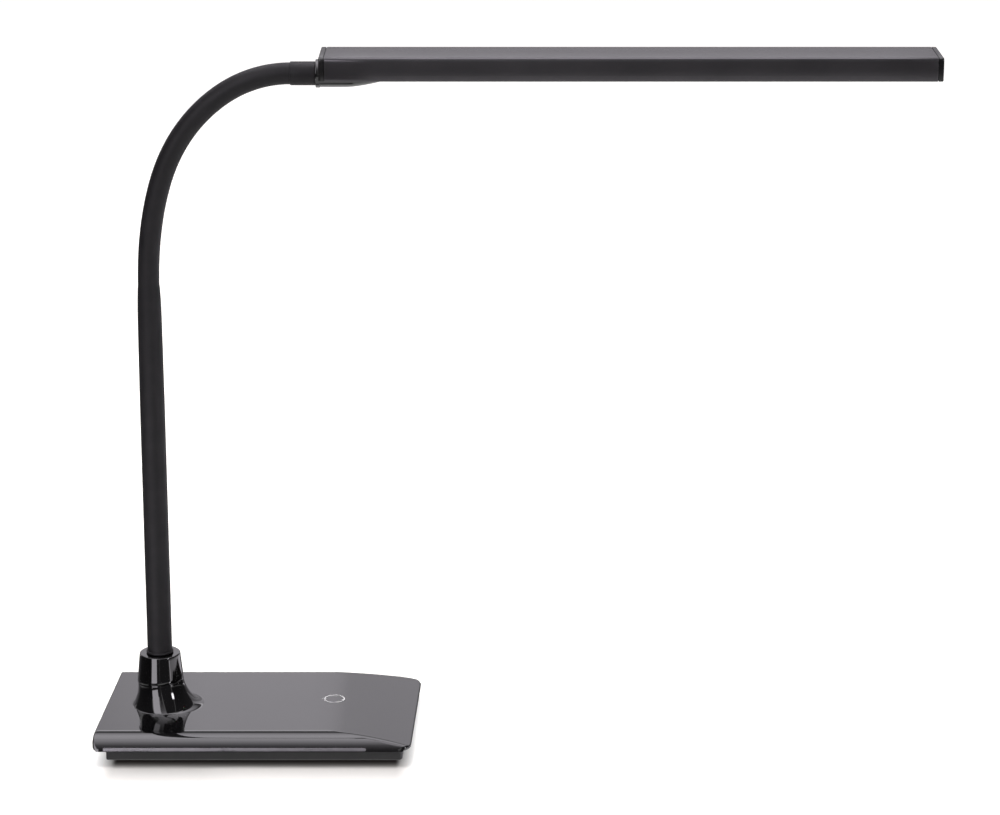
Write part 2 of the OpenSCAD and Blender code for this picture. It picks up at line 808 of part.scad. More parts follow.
// Section of the aluminium extrusion: upper chamber, web, channel and diffuser slots
module housing_section() {
    inner_w = head_d - 2 * head_wall - 1;
    difference() {
        head_outline();
        difference() {
            translate([-inner_w / 2, web_z + web_t])
                square([inner_w, head_h - head_wall - web_z - web_t]);
            head_ports(2.6);
        }
        head_ports(port_r);
        translate([-slot_w / 2 + 0.6, slot_z]) square([slot_w - 1.2, web_z - slot_z]);
        translate([-slot_w / 2, slot_z]) square([slot_w, slot_h]);
        translate([-mouth_w / 2, -1]) square([mouth_w, slot_z + 2]);
    }
}

// Puts a section drawn in (depth, height) upright across the head, at x
module across_head(x, length) {
    translate([x, 0, head_z]) rotate([90, 0, 90]) linear_extrude(length) children();
}

module head_housing() {
    color("#4a4a4e") difference() {
        across_head(body_x, head_l) housing_section();
        at_holder_screws() translate([0, 0, web_z - 1]) cylinder(r = screw_r + fit, h = web_t + 2);
    }
}

module at_holder_screws() {
    for (y = [-1, 1]) translate([body_x + 6, y * holder_screw_y, head_z]) children();
}

module end_cap_left() {
    color("#2c2c30") difference() {
        across_head(head_x, cap_l) difference() {
            head_outline();
            head_ports(port_r + fit);
            translate([-tongue_w / 2 - 0.1, -1]) square([tongue_w + 0.2, web_z - 0.2 + 1]);
        }
    }
}

module end_cap_right() {
    color("#2c2c30") {
        across_head(body_x + head_l, cap_l) difference() {
            head_outline();
            head_ports(port_r + fit);
        }
        // Tongue that locates the cap in the housing's upper chamber
        across_head(body_x + head_l - 4, 4 + eps)
            translate([-port_y + 3.2, web_z + web_t + 0.15])
            square([2 * port_y - 6.4, 1.6]);
    }
}

// Two screws in each cap; their heads are let into the cap and their shanks fill the ports
module cap_screws() {
    color("dimgray") for (s = [-1, 1]) {
        x = s < 0 ? head_x - 0.9 : body_x + head_l + cap_l + 0.9;
        for (y = [-port_y, port_y]) translate([x, y, head_z + port_z]) rotate([0, -s * 90, 0])
            difference() {
                union() {
                    cylinder(r = 2.2, h = 0.9 - eps);
                    cylinder(r = port_r - fit, h = cap_l + cap_screw_grip);
                }
                translate([0, 0, -1]) cylinder(r = 0.9, h = 1.6, $fn = 6);
            }
    }
}

// The holder: a spigot and flange for the gooseneck, a half-round part that tapers away under the
// head, and a tongue that is screwed into the housing's channel
module neck_holder() {
    flange_r = flange_d / 2;
    spigot_l = ferrule_l - hose_grip - 0.3;
    tongue_top = web_z - gap;
    color("#0c0c0e") difference() {
        union() {
            translate([flange_x - spigot_l, 0, neck_at[1]]) rotate([0, 90, 0])
                cylinder(r = hose_r, h = spigot_l + 1);
            translate([flange_x, 0, neck_at[1]]) rotate([0, 90, 0])
                cylinder(r = flange_r, h = flange_t - fit);
            intersection() {
                union() {
                    translate([flange_x + 1, 0, neck_at[1]]) rotate([0, 90, 0])
                        cylinder(r = flange_r - 0.4, h = flange_t + holder_l);
                    translate([head_x + holder_l, 0, neck_at[1]]) rotate([0, 90, 0])
                        cylinder(r1 = flange_r - 0.4, r2 = neck_rise, h = holder_taper_l);
                }
                translate([flange_x, -flange_r, neck_at[1] - 2 * flange_r])
                    cube([2 * tongue_l, 2 * flange_r, 2 * flange_r - neck_rise + 1]);
            }
            translate([head_x - 1, -tongue_w / 2, head_z])
                cube([cap_l + 13, tongue_w, tongue_top]);
            translate([head_x - 1, -tongue_w / 2, head_z])
                cube([cap_l + tongue_l - 0.5, tongue_w, slot_z]);
            translate([body_x, -6, head_z]) cube([24, 12, tongue_top]);
        }
        translate([flange_x - spigot_l - 1, 0, neck_at[1]]) rotate([0, 90, 0])
            cylinder(r = lead_r + 0.4, h = spigot_l + flange_t + 16);
        translate([head_x + 13, -2.4, head_z + slot_z - 0.3]) cube([60, 4.8, 10]);
        at_holder_screws() {
            translate([0, 0, -1]) cylinder(r = screw_r + 0.2, h = head_h);
            translate([0, 0, -1]) cylinder(r = 3, h = 1 + slot_z);
        }
    }
}

module holder_screws() {
    color("silver") at_holder_screws() difference() {
        union() {
            translate([0, 0, -0.9]) cylinder(r = 2.8, h = 1.8);
            cylinder(r = screw_r, h = web_z + web_t + 1);
        }
        translate([0, 0, -2]) cylinder(r = 1.1, h = 2, $fn = 6);
    }
}

module led_board() {
    color("whitesmoke") translate([board_x0, -led_board_w / 2, head_z + web_z - led_board_t - fit])
        cube([body_x + head_l - board_x0 - 2, led_board_w, led_board_t]);
}

module led_chips() {
    z = head_z + web_z - led_board_t - fit - led_t;
    color("khaki") for (i = [0:led_count - 1])
        translate([led_x + (i + 0.5) * led_pitch - led_l / 2, -led_w / 2, z])
            cube([led_l, led_w, led_t]);
}

module diffuser() {
    x0 = body_x + tongue_l;
    color("white") translate([x0, -slot_w / 2 + 0.1, head_z + slot_z + 0.1])
        cube([body_x + head_l - x0 - fit, slot_w - 0.2, diffuser_t]);
}

base_cover();
stand_flare();
front_trim();
base_tray();
ballast_plate();
control_board();
board_parts();
board_screws();
touch_spring();
touch_ring();
power_jack();
jack_lead();
rubber_feet();
tray_screws();
arm_collar();
stand_flange();
flange_screws();
stand_tube();
stand_sleeve();
hose(0);  // hose_0
hose(1);  // hose_1
hose(2);  // hose_2
hose(3);  // hose_3
hose(4);  // hose_4
hose(5);  // hose_5
hose(6);  // hose_6
hose(7);  // hose_7
hose(8);  // hose_8
lead(0);  // lead_0
lead(1);  // lead_1
lead(2);  // lead_2
lead(3);  // lead_3
lead(4);  // lead_4
lead(5);  // lead_5
lead(6);  // lead_6
lead(7);  // lead_7
lead(8);  // lead_8
sleeve(1);  // sleeve_1
sleeve(2);  // sleeve_2
sleeve(3);  // sleeve_3
sleeve(4);  // sleeve_4
sleeve(5);  // sleeve_5
sleeve(6);  // sleeve_6
sleeve(7);  // sleeve_7
sleeve(8);  // sleeve_8
neck_ferrule();
neck_holder();
holder_screws();
head_housing();
end_cap_left();
end_cap_right();
cap_screws();
led_board();
led_chips();
diffuser();
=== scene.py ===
# %% [markdown]
# # A gooseneck desk lamp, dressed step by step
# The lamp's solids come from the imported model. They are in metres and they stay where they are.
# This lesson makes smooth skins for the parts that show, gives every part a finish and sets up a
# plain studio. Each step first says what the piece is on a real lamp and how it could be made.

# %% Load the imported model
from math import acos, asin, copysign, cos, degrees, pi, radians, sin, sqrt, tan

import bmesh
import bpy
from mathutils import Matrix, Vector


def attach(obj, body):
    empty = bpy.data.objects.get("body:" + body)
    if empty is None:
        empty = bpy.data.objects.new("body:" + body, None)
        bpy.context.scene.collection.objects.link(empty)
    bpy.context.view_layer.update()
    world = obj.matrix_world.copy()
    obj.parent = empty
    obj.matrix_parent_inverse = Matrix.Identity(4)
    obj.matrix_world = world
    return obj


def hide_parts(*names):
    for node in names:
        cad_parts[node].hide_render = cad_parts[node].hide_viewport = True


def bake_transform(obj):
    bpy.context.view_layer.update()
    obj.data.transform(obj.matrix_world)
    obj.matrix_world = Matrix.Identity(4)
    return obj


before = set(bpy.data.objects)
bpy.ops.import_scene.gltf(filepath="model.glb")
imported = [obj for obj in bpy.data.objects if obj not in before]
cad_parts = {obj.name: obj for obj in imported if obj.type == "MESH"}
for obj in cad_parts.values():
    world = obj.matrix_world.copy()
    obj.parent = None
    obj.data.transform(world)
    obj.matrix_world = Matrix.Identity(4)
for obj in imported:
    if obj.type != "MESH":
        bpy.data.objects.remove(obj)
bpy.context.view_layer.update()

# %% [markdown]
# ## The camera
# A long lens stands two metres away and looks down a little, as in a catalogue picture. A long
# lens keeps the head's two ends nearly the same size. It is placed first, because everything that
# shines is judged from it.

# %% Place the camera
scene = bpy.context.scene
scene.view_settings.view_transform = "Standard"


def add_object(name, data):
    """Puts new data in the scene as an object at the origin."""
    made = bpy.data.objects.new(name, data)
    scene.collection.objects.link(made)
    return made


camera = add_object("camera", bpy.data.cameras.new("camera"))
camera.data.lens, camera.data.sensor_width = 118.9, 36
camera.data.clip_end = 100
camera.location = (0.1527, -1.9794, 0.793)
camera.rotation_euler = (radians(73.7), 0, 0)
scene.camera = camera
print("camera at", tuple(round(v, 3) for v in camera.location))

# %% [markdown]
# ## Small tools for meshes
# Nearly every skin here is a loft: rings of points, one after the other, with a strip of faces
# between each pair. A lathe, a tube and an extrusion are all lofts. Points are written in
# millimetres, like a drawing, and become metres in one place only.

# %% Loft rings of points into a mesh
MM = 0.001


def loft(rings, ring_closed=True, caps=(True, True), path_closed=False):
    """Points and faces between rings of equal length."""
    count = len(rings[0])
    points = [point for ring in rings for point in ring]
    faces = []
    for i in range(len(rings) if path_closed else len(rings) - 1):
        a, b = i * count, (i + 1) % len(rings) * count
        for j in range(count if ring_closed else count - 1):
            k = (j + 1) % count
            faces.append((a + j, a + k, b + k, b + j))
    if caps[0] and not path_closed:
        faces.append(tuple(reversed(range(count))))
    if caps[1] and not path_closed:
        faces.append(tuple(range(len(points) - count, len(points))))
    return points, faces


def join(*parts):
    """Several lofts as one list of points and one of faces."""
    points, faces = [], []
    for more_points, more_faces in parts:
        start = len(points)
        points += more_points
        faces += [tuple(start + i for i in face) for face in more_faces]
    return points, faces


def shade(mesh, angle=30):
    """Smooth shading that keeps every edge sharper than the angle."""
    mesh.polygons.foreach_set("use_smooth", [True] * len(mesh.polygons))
    mesh.set_sharp_from_angle(angle=radians(angle))
    mesh.update()


def mesh_of(name, made, angle=30, outward=True):
    """A clean mesh in metres, with its doubles merged and its faces pointing outwards."""
    points, faces = made
    form = bmesh.new()
    corners = [form.verts.new([c * MM for c in point]) for point in points]
    for face in faces:
        kept = [corners[i] for n, i in enumerate(face) if i != face[n - 1]]
        try:
            form.faces.new(kept)
        except ValueError:
            pass
    bmesh.ops.remove_doubles(form, verts=form.verts, dist=1e-7)
    bmesh.ops.dissolve_degenerate(form, edges=form.edges, dist=1e-7)
    if outward:
        bmesh.ops.recalc_face_normals(form, faces=form.faces)
    mesh = bpy.data.meshes.new(name)
    form.to_mesh(mesh)
    form.free()
    shade(mesh, angle)
    return mesh


def baked(carrier):
    """The object's mesh with its modifiers worked in, and the modifiers gone."""
    graph = bpy.context.evaluated_depsgraph_get()
    mesh = bpy.data.meshes.new_from_object(carrier.evaluated_get(graph), depsgraph=graph)
    carrier.modifiers.clear()
    carrier.data = mesh
    return carrier


def place_piece(piece, body, slot, finish, *stands_for):
    """Finish and body of a new piece, and the nodes that it stands for; the slot is not used."""
    if finish is not None:
        piece.data.materials.clear()
        piece.data.materials.append(finishes[finish])
    if isinstance(body, str):
        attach(piece, body)
    if stands_for:
        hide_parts(*stands_for)
    print(f"{piece.name}: {len(piece.data.polygons)} faces, rides on {body}")
    return piece


def add_piece(name, made, body, slot, finish, *stands_for, angle=30):
    """A new piece from points and faces, placed at once."""
    piece = add_object(name, mesh_of(name, made, angle))
    return place_piece(piece, body, slot, finish, *stands_for)


def turned(profile, steps=96, closed=True):
    """A lathe about the Z axis from (radius, height) points."""
    rings = []
    for i in range(steps):
        a = 2 * pi * i / steps
        rings.append([(r * cos(a), r * sin(a), z) for r, z in profile])
    return loft(rings, ring_closed=closed, path_closed=True)


def moved(made, matrix):
    """The same points after a move, which is a matrix in millimetres."""
    return [tuple(matrix @ Vector(point)) for point in made[0]], made[1]


def rounded(a, corner, b, steps=5):
    """Points on a soft corner that touches both its sides."""
    out = []
    for i in range(steps + 1):
        t = i / steps
        out.append(tuple((1 - t) ** 2 * p + 2 * t * (1 - t) * q + t * t * r
                         for p, q, r in zip(a, corner, b)))
    return out


def quarter(radius, steps=6):
    """A quarter circle as steps of (in from the side, down from the top)."""
    turns = [pi / 2 * i / steps for i in range(steps + 1)]
    return [(radius * (1 - sin(a)), radius * (1 - cos(a))) for a in turns]


def facing(direction):
    """The turn that points the Z axis along a direction."""
    return Vector((0, 0, 1)).rotation_difference(Vector(direction)).to_matrix().to_4x4()


print("mesh tools ready")

# %% [markdown]
# ## Small tools for shader nodes
# A finish is more than a colour. Real mouldings are a little cloudy, brushed metal has lines, and
# dust lies on what faces up. Such effects are node groups, so that each is built once and every
# finish uses it with its own numbers. The shader itself stays in the material.

# %% Node helpers
def feed(tree, socket, value):
    """Links a socket to another one, or sets its number or colour."""
    if isinstance(value, bpy.types.NodeSocket):
        tree.links.new(value, socket)
    else:
        socket.default_value = value


def node(tree, kind, inputs=None, **settings):
    """Adds a node, sets it up and feeds its inputs, which are named or numbered."""
    made = tree.nodes.new(kind)
    for key, value in settings.items():
        setattr(made, key, value)
    for key, value in (inputs or {}).items():
        feed(tree, made.inputs[key], value)
    return made


def calculate(tree, operation, a, b=0.0, clamp=False):
    made = node(tree, "ShaderNodeMath", {0: a, 1: b}, operation=operation, use_clamp=clamp)
    return made.outputs[0]


def on_vector(tree, operation, a, b=(0, 0, 0)):
    """Vector arithmetic; a length comes out as a number and the rest as a vector."""
    made = node(tree, "ShaderNodeVectorMath", {0: a, 1: b}, operation=operation)
    return made.outputs["Value" if operation == "LENGTH" else "Vector"]


def mix_colours(tree, factor, a, b):
    inputs = {"Factor": factor, "A": a, "B": b}
    return node(tree, "ShaderNodeMix", inputs, data_type="RGBA").outputs["Result"]


def noise(tree, vector, scale, detail=2.0, roughness=0.5):
    return node(tree, "ShaderNodeTexNoise", {
        "Vector": vector, "Scale": scale, "Detail": detail, "Roughness": roughness}).outputs["Fac"]


def spread(tree, value, low, high, start=0.3, stop=0.7):
    """Stretches a value over the range from low to high."""
    return node(tree, "ShaderNodeMapRange", {
        "Value": value, "From Min": start, "From Max": stop, "To Min": low, "To Max": high},
        clamp=True).outputs["Result"]


def start_group(name, gives, **inputs):
    """An empty node group with one output; returns the tree and its two ends. The kind of an input
    is named, or follows from its first value."""
    shapes = gives == "Geometry"
    tree = bpy.data.node_groups.new(name, "GeometryNodeTree" if shapes else "ShaderNodeTree")
    kinds = {float: "Float", int: "Int", tuple: "Vector"}
    for label, value in inputs.items():
        kind = kinds.get(type(value), value)
        socket = tree.interface.new_socket(label, in_out="INPUT", socket_type="NodeSocket" + kind)
        if kind != value:
            socket.default_value = value
    tree.interface.new_socket(gives, in_out="OUTPUT",
                              socket_type="NodeSocket" + ("Geometry" if shapes else "Float"))
    print("group:", name)
    return tree, tree.nodes.new("NodeGroupInput").outputs, tree.nodes.new("NodeGroupOutput").inputs


print("node helpers ready")

# %% [markdown]
# ### Clouding
# Handling, polish and mould flow leave soft patches in the gloss and in the colour of any part.
# A low noise that runs between two values is enough. The same group serves roughness and colour.

# %% Group: clouding
clouding, g_in, g_out = start_group(
    "clouding", "Value", Vector="Vector", Size=40.0, Low=0.0, High=1.0)
patches = noise(clouding, g_in["Vector"], g_in["Size"], 3.0)
feed(clouding, g_out["Value"], spread(clouding, patches, g_in["Low"], g_in["High"]))

# %% [markdown]
# ### Grain
# Rubber, moulded plastic and cast metal have a fine skin. It is a height for a Bump node: one
# noise for the grain and a finer one on top, so that it doesn't look like one repeated size.

# %% Group: grain
grain, g_in, g_out = start_group("grain", "Height", Vector="Vector", Size=1500.0)
coarse = noise(grain, g_in["Vector"], g_in["Size"], 1.0)
fine = noise(grain, g_in["Vector"], calculate(grain, "MULTIPLY", g_in["Size"], 3.1), 0.0)
height = calculate(grain, "ADD", coarse, calculate(grain, "MULTIPLY", fine, 0.4))
feed(grain, g_out["Height"], height)

# %% [markdown]
# ### Brushing
# The head's aluminium is drawn past a belt along its length, so its lines are long in X and fine
# across. Squeezing the coordinates along X before the noise gives lines of that shape.

# %% Group: brushing
brushing, g_in, g_out = start_group(
    "brushing", "Lines", Vector="Vector", Fineness=2500.0, Stretch=0.01)
squeeze = node(brushing, "ShaderNodeCombineXYZ", {"X": g_in["Stretch"], "Y": 1.0, "Z": 1.0})
stretched = on_vector(brushing, "MULTIPLY", g_in["Vector"], squeeze.outputs[0])
feed(brushing, g_out["Lines"], noise(brushing, stretched, g_in["Fineness"], 3.0, 0.6))

# %% [markdown]
# ### Dust
# Dust settles on faces that look up. The group multiplies how far a face looks up with a
# speckled noise, and gives a mask that lightens the colour and dulls the gloss by a hair.

# %% Group: dust
dust, g_in, g_out = start_group("dust", "Mask", Vector="Vector", Normal="Vector", Amount=0.1)
slope = node(dust, "ShaderNodeSeparateXYZ", {0: g_in["Normal"]}).outputs["Z"]
up = calculate(dust, "MAXIMUM", slope, 0.0)
specks = spread(dust, noise(dust, g_in["Vector"], 900.0, 2.0), 0.0, 1.0, 0.56, 0.8)
veil = spread(dust, noise(dust, g_in["Vector"], 30.0, 3.0), 0.2, 1.0)
lying = calculate(dust, "MULTIPLY", up, calculate(dust, "MULTIPLY", specks, veil))
feed(dust, g_out["Mask"], calculate(dust, "MULTIPLY", lying, g_in["Amount"], clamp=True))

# %% [markdown]
# ### Winding
# The hose inside the neck is wound. Rings along one axis are a sine of that coordinate, which
# gives a height for a Bump node.

# %% Group: winding
winding, g_in, g_out = start_group("winding", "Height", Vector="Vector", Pitch=0.002)
parts = node(winding, "ShaderNodeSeparateXYZ", {0: g_in["Vector"]}).outputs
lean = calculate(winding, "MULTIPLY", parts["X"], 0.7)
slant = calculate(winding, "MULTIPLY", calculate(winding, "ADD", parts["Z"], lean), 2 * pi)
turns = calculate(winding, "DIVIDE", slant, g_in["Pitch"])
feed(winding, g_out["Height"], calculate(winding, "SINE", turns))

# %% [markdown]
# ### One recipe for a finish
# Every finish takes two close colours that are clouded into each other, a range of roughness, and
# a height for its bump. The recipe puts the groups beside one Principled shader. Numbers that are
# the same all over, such as the coat's roughness, are set on the shader itself.

# %% Recipe for a finish
DUST_COLOUR = (0.32, 0.31, 0.30, 1)


def use_group(tree, group, **values):
    return node(tree, "ShaderNodeGroup", node_tree=group, inputs=values).outputs[0]


def start_material(name):
    """A material with its tree, its shader's inputs and the object's own coordinates."""
    material = bpy.data.materials.new(name)
    material.use_nodes = True
    tree = material.node_tree
    where = node(tree, "ShaderNodeTexCoord").outputs["Object"]
    return material, tree, tree.nodes["Principled BSDF"].inputs, where


def make_finish(name, dark, light, rough, cloud, grain_size, depth, brushed=0.0, dusty=0.0,
                 wound=0.0, metallic=0.0, coat=0.0, coat_rough=0.04, **constants):
    """A procedural material; colours are linear, sizes are per metre and depths in metres."""
    material, tree, shader, where = start_material(name)
    shades = use_group(tree, clouding, Vector=where, Size=cloud * 1.7)
    colour = mix_colours(tree, shades, (*dark, 1), (*light, 1))
    gloss = use_group(tree, clouding, Vector=where, Size=cloud, Low=rough[0], High=rough[1])
    if dusty:
        normal = node(tree, "ShaderNodeNewGeometry").outputs["Normal"]
        mask = use_group(tree, dust, Vector=where, Normal=normal, Amount=dusty)
        colour = mix_colours(tree, mask, colour, DUST_COLOUR)
        gloss = calculate(tree, "ADD", gloss, calculate(tree, "MULTIPLY", mask, 0.6))
    if brushed:
        height = use_group(tree, brushing, Vector=where, Fineness=brushed)
        swing = calculate(tree, "MULTIPLY", calculate(tree, "SUBTRACT", height, 0.5), 0.1)
        gloss = calculate(tree, "ADD", gloss, swing)
    elif wound:
        height = use_group(tree, winding, Vector=where, Pitch=wound)
    else:
        height = use_group(tree, grain, Vector=where, Size=grain_size)
    bump = node(tree, "ShaderNodeBump", {"Distance": depth, "Strength": 1.0, "Height": height})
    values = {"Base Color": colour, "Roughness": gloss, "Normal": bump.outputs["Normal"],
              "Metallic": metallic, "Coat Weight": coat, "Coat Roughness": coat_rough, "IOR": 1.5}
    for label, value in (values | constants).items():
        feed(tree, shader[label.replace("_", " ")], value)
    print("finish:", name)
    return material


# %% [markdown]
# ## The finishes that show
# The base, the collar and the holder are black mouldings under a clear gloss. The neck wears a
# matte silicone sleeve. The head is aluminium, brushed along its length and anodised dark grey,
# and the strip in the base's front edge is satin silver. The tray is plain satin plastic.

# %% Finishes of the outside
finishes = {}


def add_finishes(rows):
    """Makes finishes. Each row has a dark and a light colour, the range of roughness, the cloud
    size, the grain size and its depth, and a dictionary of what else the finish needs."""
    for name, (dark, light, rough, cloud, grain_size, depth, rest) in rows.items():
        finishes[name] = make_finish(name, dark, light, rough, cloud, grain_size, depth, **rest)


add_finishes({
    "gloss_black": ((0.0032, 0.003, 0.0035), (0.005, 0.0047, 0.0054), (0.035, 0.07), 25, 700,
        0.0000012, dict(dusty=0.05, coat=0.56, coat_rough=0.03)),
    "gloss_trim": ((0.0024, 0.0023, 0.0026), (0.004, 0.0038, 0.0042), (0.04, 0.08), 60, 900,
        0.000001, dict(coat=0.5, coat_rough=0.03)),
    "matte_sleeve": ((0.0128, 0.0116, 0.0138), (0.0172, 0.0156, 0.0182), (0.48, 0.58), 60, 1300,
        0.000012, dict(dusty=0.03, Specular_IOR_Level=0.26)),
    "anodised": ((0.074, 0.07, 0.077), (0.088, 0.083, 0.091), (0.2, 0.25), 18, 1500, 0.0000008,
        dict(brushed=2600, metallic=0.55)),
    "cap_plastic": ((0.012, 0.0115, 0.0125), (0.017, 0.0165, 0.0175), (0.13, 0.19), 80, 1800,
        0.000002, {}),
    "black_primer": ((0.016, 0.016, 0.0165), (0.026, 0.026, 0.027), (0.42, 0.55), 60, 900, 0.00001,
        {}),
    "satin_silver": ((0.2, 0.194, 0.206), (0.24, 0.234, 0.246), (0.26, 0.32), 50, 1500, 0.000002,
        dict(brushed=3500, metallic=1.0)),
    # Near-black matte for the painted shadow in the gap round the silver strip.
    "strip_seat": ((0.004, 0.004, 0.004), (0.006, 0.006, 0.006), (0.6, 0.7), 40, 1500, 0.00002, {}),
    "satin_plastic": ((0.016, 0.0155, 0.0165), (0.023, 0.022, 0.0235), (0.32, 0.42), 60, 1600,
        0.00001, {}),
    "soft_rubber": ((0.012, 0.012, 0.012), (0.02, 0.02, 0.02), (0.7, 0.82), 40, 1100, 0.00003, {}),
    "printed_mark": ((0.52, 0.51, 0.52), (0.6, 0.59, 0.6), (0.35, 0.45), 200, 3000, 0.000003, {}),
    "opal": ((0.78, 0.78, 0.76), (0.84, 0.84, 0.82), (0.38, 0.46), 30, 1800, 0.00001,
        dict(Subsurface_Weight=0.4, Subsurface_Scale=0.003)),
})

# %% [markdown]
# ## The finishes inside
# What the cover hides still gets the finish of its kind: steel for the ballast and the stand's
# tube, bright zinc on the screws, glass fibre for the board, a wound steel hose in the neck and
# PVC on the leads. A part that is looked at on its own then reads at once.

# %% Finishes of the inside
add_finishes({
    "bare_steel": ((0.3, 0.3, 0.31), (0.42, 0.42, 0.43), (0.34, 0.5), 90, 1200, 0.000012,
        dict(metallic=1.0)),
    "bright_zinc": ((0.55, 0.56, 0.58), (0.68, 0.68, 0.66), (0.22, 0.34), 300, 2500, 0.000006,
        dict(metallic=1.0)),
    "black_screw": ((0.03, 0.03, 0.032), (0.05, 0.05, 0.052), (0.3, 0.42), 300, 2500, 0.000006,
        dict(metallic=1.0)),
    "spring_brass": ((0.55, 0.4, 0.16), (0.66, 0.5, 0.22), (0.24, 0.36), 250, 2500, 0.000004,
        dict(metallic=1.0)),
    "wound_steel": ((0.34, 0.34, 0.35), (0.48, 0.48, 0.48), (0.25, 0.38), 200, 1500, 0.0003,
        dict(wound=0.0019, metallic=1.0)),
    "glass_fibre": ((0.012, 0.09, 0.03), (0.02, 0.12, 0.045), (0.3, 0.45), 120, 2200, 0.000008,
        dict(coat=0.3)),
    "chip_black": ((0.01, 0.01, 0.01), (0.02, 0.02, 0.021), (0.45, 0.6), 200, 3000, 0.00001, {}),
    "pvc_lead": ((0.012, 0.012, 0.013), (0.02, 0.02, 0.02), (0.38, 0.5), 150, 1600, 0.00001, {}),
    "white_mask": ((0.7, 0.7, 0.69), (0.78, 0.78, 0.77), (0.3, 0.4), 100, 2400, 0.000006, {}),
    "phosphor": ((0.72, 0.52, 0.08), (0.8, 0.62, 0.14), (0.35, 0.5), 900, 6000, 0.00001, {}),
})

# %% [markdown]
# ## Dress the solids
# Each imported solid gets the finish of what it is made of, through its object's material slots.
# The skins that follow stand in front of some of them, and those solids are then hidden.

# %% Finish of each solid
finish_of = {
    "base_cover": "gloss_black", "stand_flare": "gloss_black", "arm_collar": "gloss_trim",
    "neck_holder": "gloss_trim", "neck_ferrule": "matte_sleeve", "stand_sleeve": "matte_sleeve",
    "front_trim": "satin_silver", "base_tray": "satin_plastic", "rubber_feet": "soft_rubber",
    "head_housing": "anodised", "end_cap_left": "cap_plastic", "end_cap_right": "cap_plastic",
    "touch_ring": "printed_mark", "diffuser": "opal", "power_jack": "satin_plastic",
    "jack_lead": "pvc_lead", "ballast_plate": "black_primer", "stand_tube": "bare_steel",
    "stand_flange": "bare_steel", "touch_spring": "spring_brass", "tray_screws": "black_screw",
    "flange_screws": "black_screw", "board_screws": "black_screw", "holder_screws": "black_screw",
    "cap_screws": "black_screw", "control_board": "glass_fibre", "board_parts": "chip_black",
    "led_board": "white_mask", "led_chips": "phosphor",
    "hose": "wound_steel", "lead": "pvc_lead", "sleeve": "matte_sleeve"}
for name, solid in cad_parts.items():
    finish = finish_of.get(name) or finish_of[name.split("_")[0]]
    for material_slot in solid.material_slots:
        pale = name == "power_jack" and material_slot.material and sum(
            material_slot.material.diffuse_color[:3]) > 1.2
        material_slot.material = finishes["bright_zinc" if pale else finish]
print("dressed", len(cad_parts), "solids")

# %% [markdown]
# ## The base cover
# The cover is one glossy moulding: a flat top that rolls over round long edges, ends that lean a
# little, and a right end that curves down. A box with a bevel can't do that, because the falling
# roof cuts the round edges at a different height at each station. So the skin is a grid. Its
# columns run along the base and its rows follow the section, and every point is worked out from
# the roof's height at its own station. The front edge keeps its section and the back edge gets
# wider towards the right end. A second grid, moved inwards, gives the moulding its wall, and a
# rim joins the two all round and in the notch behind the power socket.

# %% Sizes of the base
BASE = dict(half_length=99.0, half_depth=61.5, top=17.0, low=8.1, nose=11.0, wall=2.2,
            left_rake=3.0, right_rake=2.0, left_corner=4.0, right_corner=8.0, edge=0.9)
DROOP_FROM, DROOP_R = 41.6, 195.0
DROOP_TURN, FALL_START, SOFT_FALL = radians(1), 62, 5.92e-5
droop_x = 51.0 - DROOP_R * sin(DROOP_TURN)
droop_z = BASE["top"] - DROOP_R * cos(DROOP_TURN)
nose_y, nose_z = BASE["half_depth"] - BASE["nose"], BASE["top"] - BASE["nose"]


def roof(x):
    """Height of the cover's top at x; the fall starts softly and then follows a large radius."""
    if x < FALL_START:
        return BASE["top"] - SOFT_FALL * max(0.0, x - DROOP_FROM) ** 3
    return droop_z + sqrt(DROOP_R ** 2 - (x - droop_x) ** 2)


def end_of(side):
    """Rake and corner radius of the left (-1) or right (1) end."""
    name = "right" if side > 0 else "left"
    return radians(BASE[name + "_rake"]), BASE[name + "_corner"]


def end_x(side, y, inset):
    """Where the base ends at y, for the left (-1) or right (1) end, moved in by the inset."""
    rake, corner = end_of(side)
    line = side * (BASE["half_length"] - inset / cos(rake)) + y * tan(rake)
    centre_y = copysign(BASE["half_depth"] - corner, y)
    if abs(y) < abs(centre_y) - 1:
        return line
    centre = side * (BASE["half_length"] - corner / cos(rake)) + centre_y * tan(rake)
    r = corner - inset
    arc = centre + side * sqrt(max(r * r - max(abs(y) - abs(centre_y), 0) ** 2, 0))
    return side * min(side * line, side * arc)


print("roof at the right end:", round(roof(99), 2), "mm")

# %% Section of the long edges
def long_edge(crown_from, nose_from, crown_degrees, low_y=0.0, reach=7.0):
    """Numbers of one long edge: a faint crown first, then a round edge down to the lower edge."""
    crown = radians(crown_degrees)
    drop = (nose_from - crown_from) * tan(crown) / 2
    last = acos((BASE["low"] - nose_z) / BASE["nose"]) if low_y else radians(105)
    wide = (low_y - nose_from) / (sin(last) - sin(crown)) if low_y else reach
    tall = (BASE["top"] - drop - BASE["low"]) / (cos(crown) - cos(last))
    return crown_from, nose_from, crown, drop, last, wide, tall


FRONT_EDGE = long_edge(46.5, nose_y, 4, 61.298)
CROWN_PART = 0.2
WIDE_FROM, WIDE_TO, WIDEST = 44.0, 96.0, 22
back_edges = {}


def edge_of(side, x):
    """The front edge is the same all along; the back edge gets wider towards the right end."""
    if side < 0:
        return FRONT_EDGE
    key = round(min(max(x, WIDE_FROM), WIDE_TO), 1)
    if key not in back_edges:
        more = WIDEST * ((key - WIDE_FROM) / (WIDE_TO - WIDE_FROM)) ** 1.6
        back_edges[key] = long_edge(52 - more, 54 - more, 1.5, reach=7 + more)
    return back_edges[key]


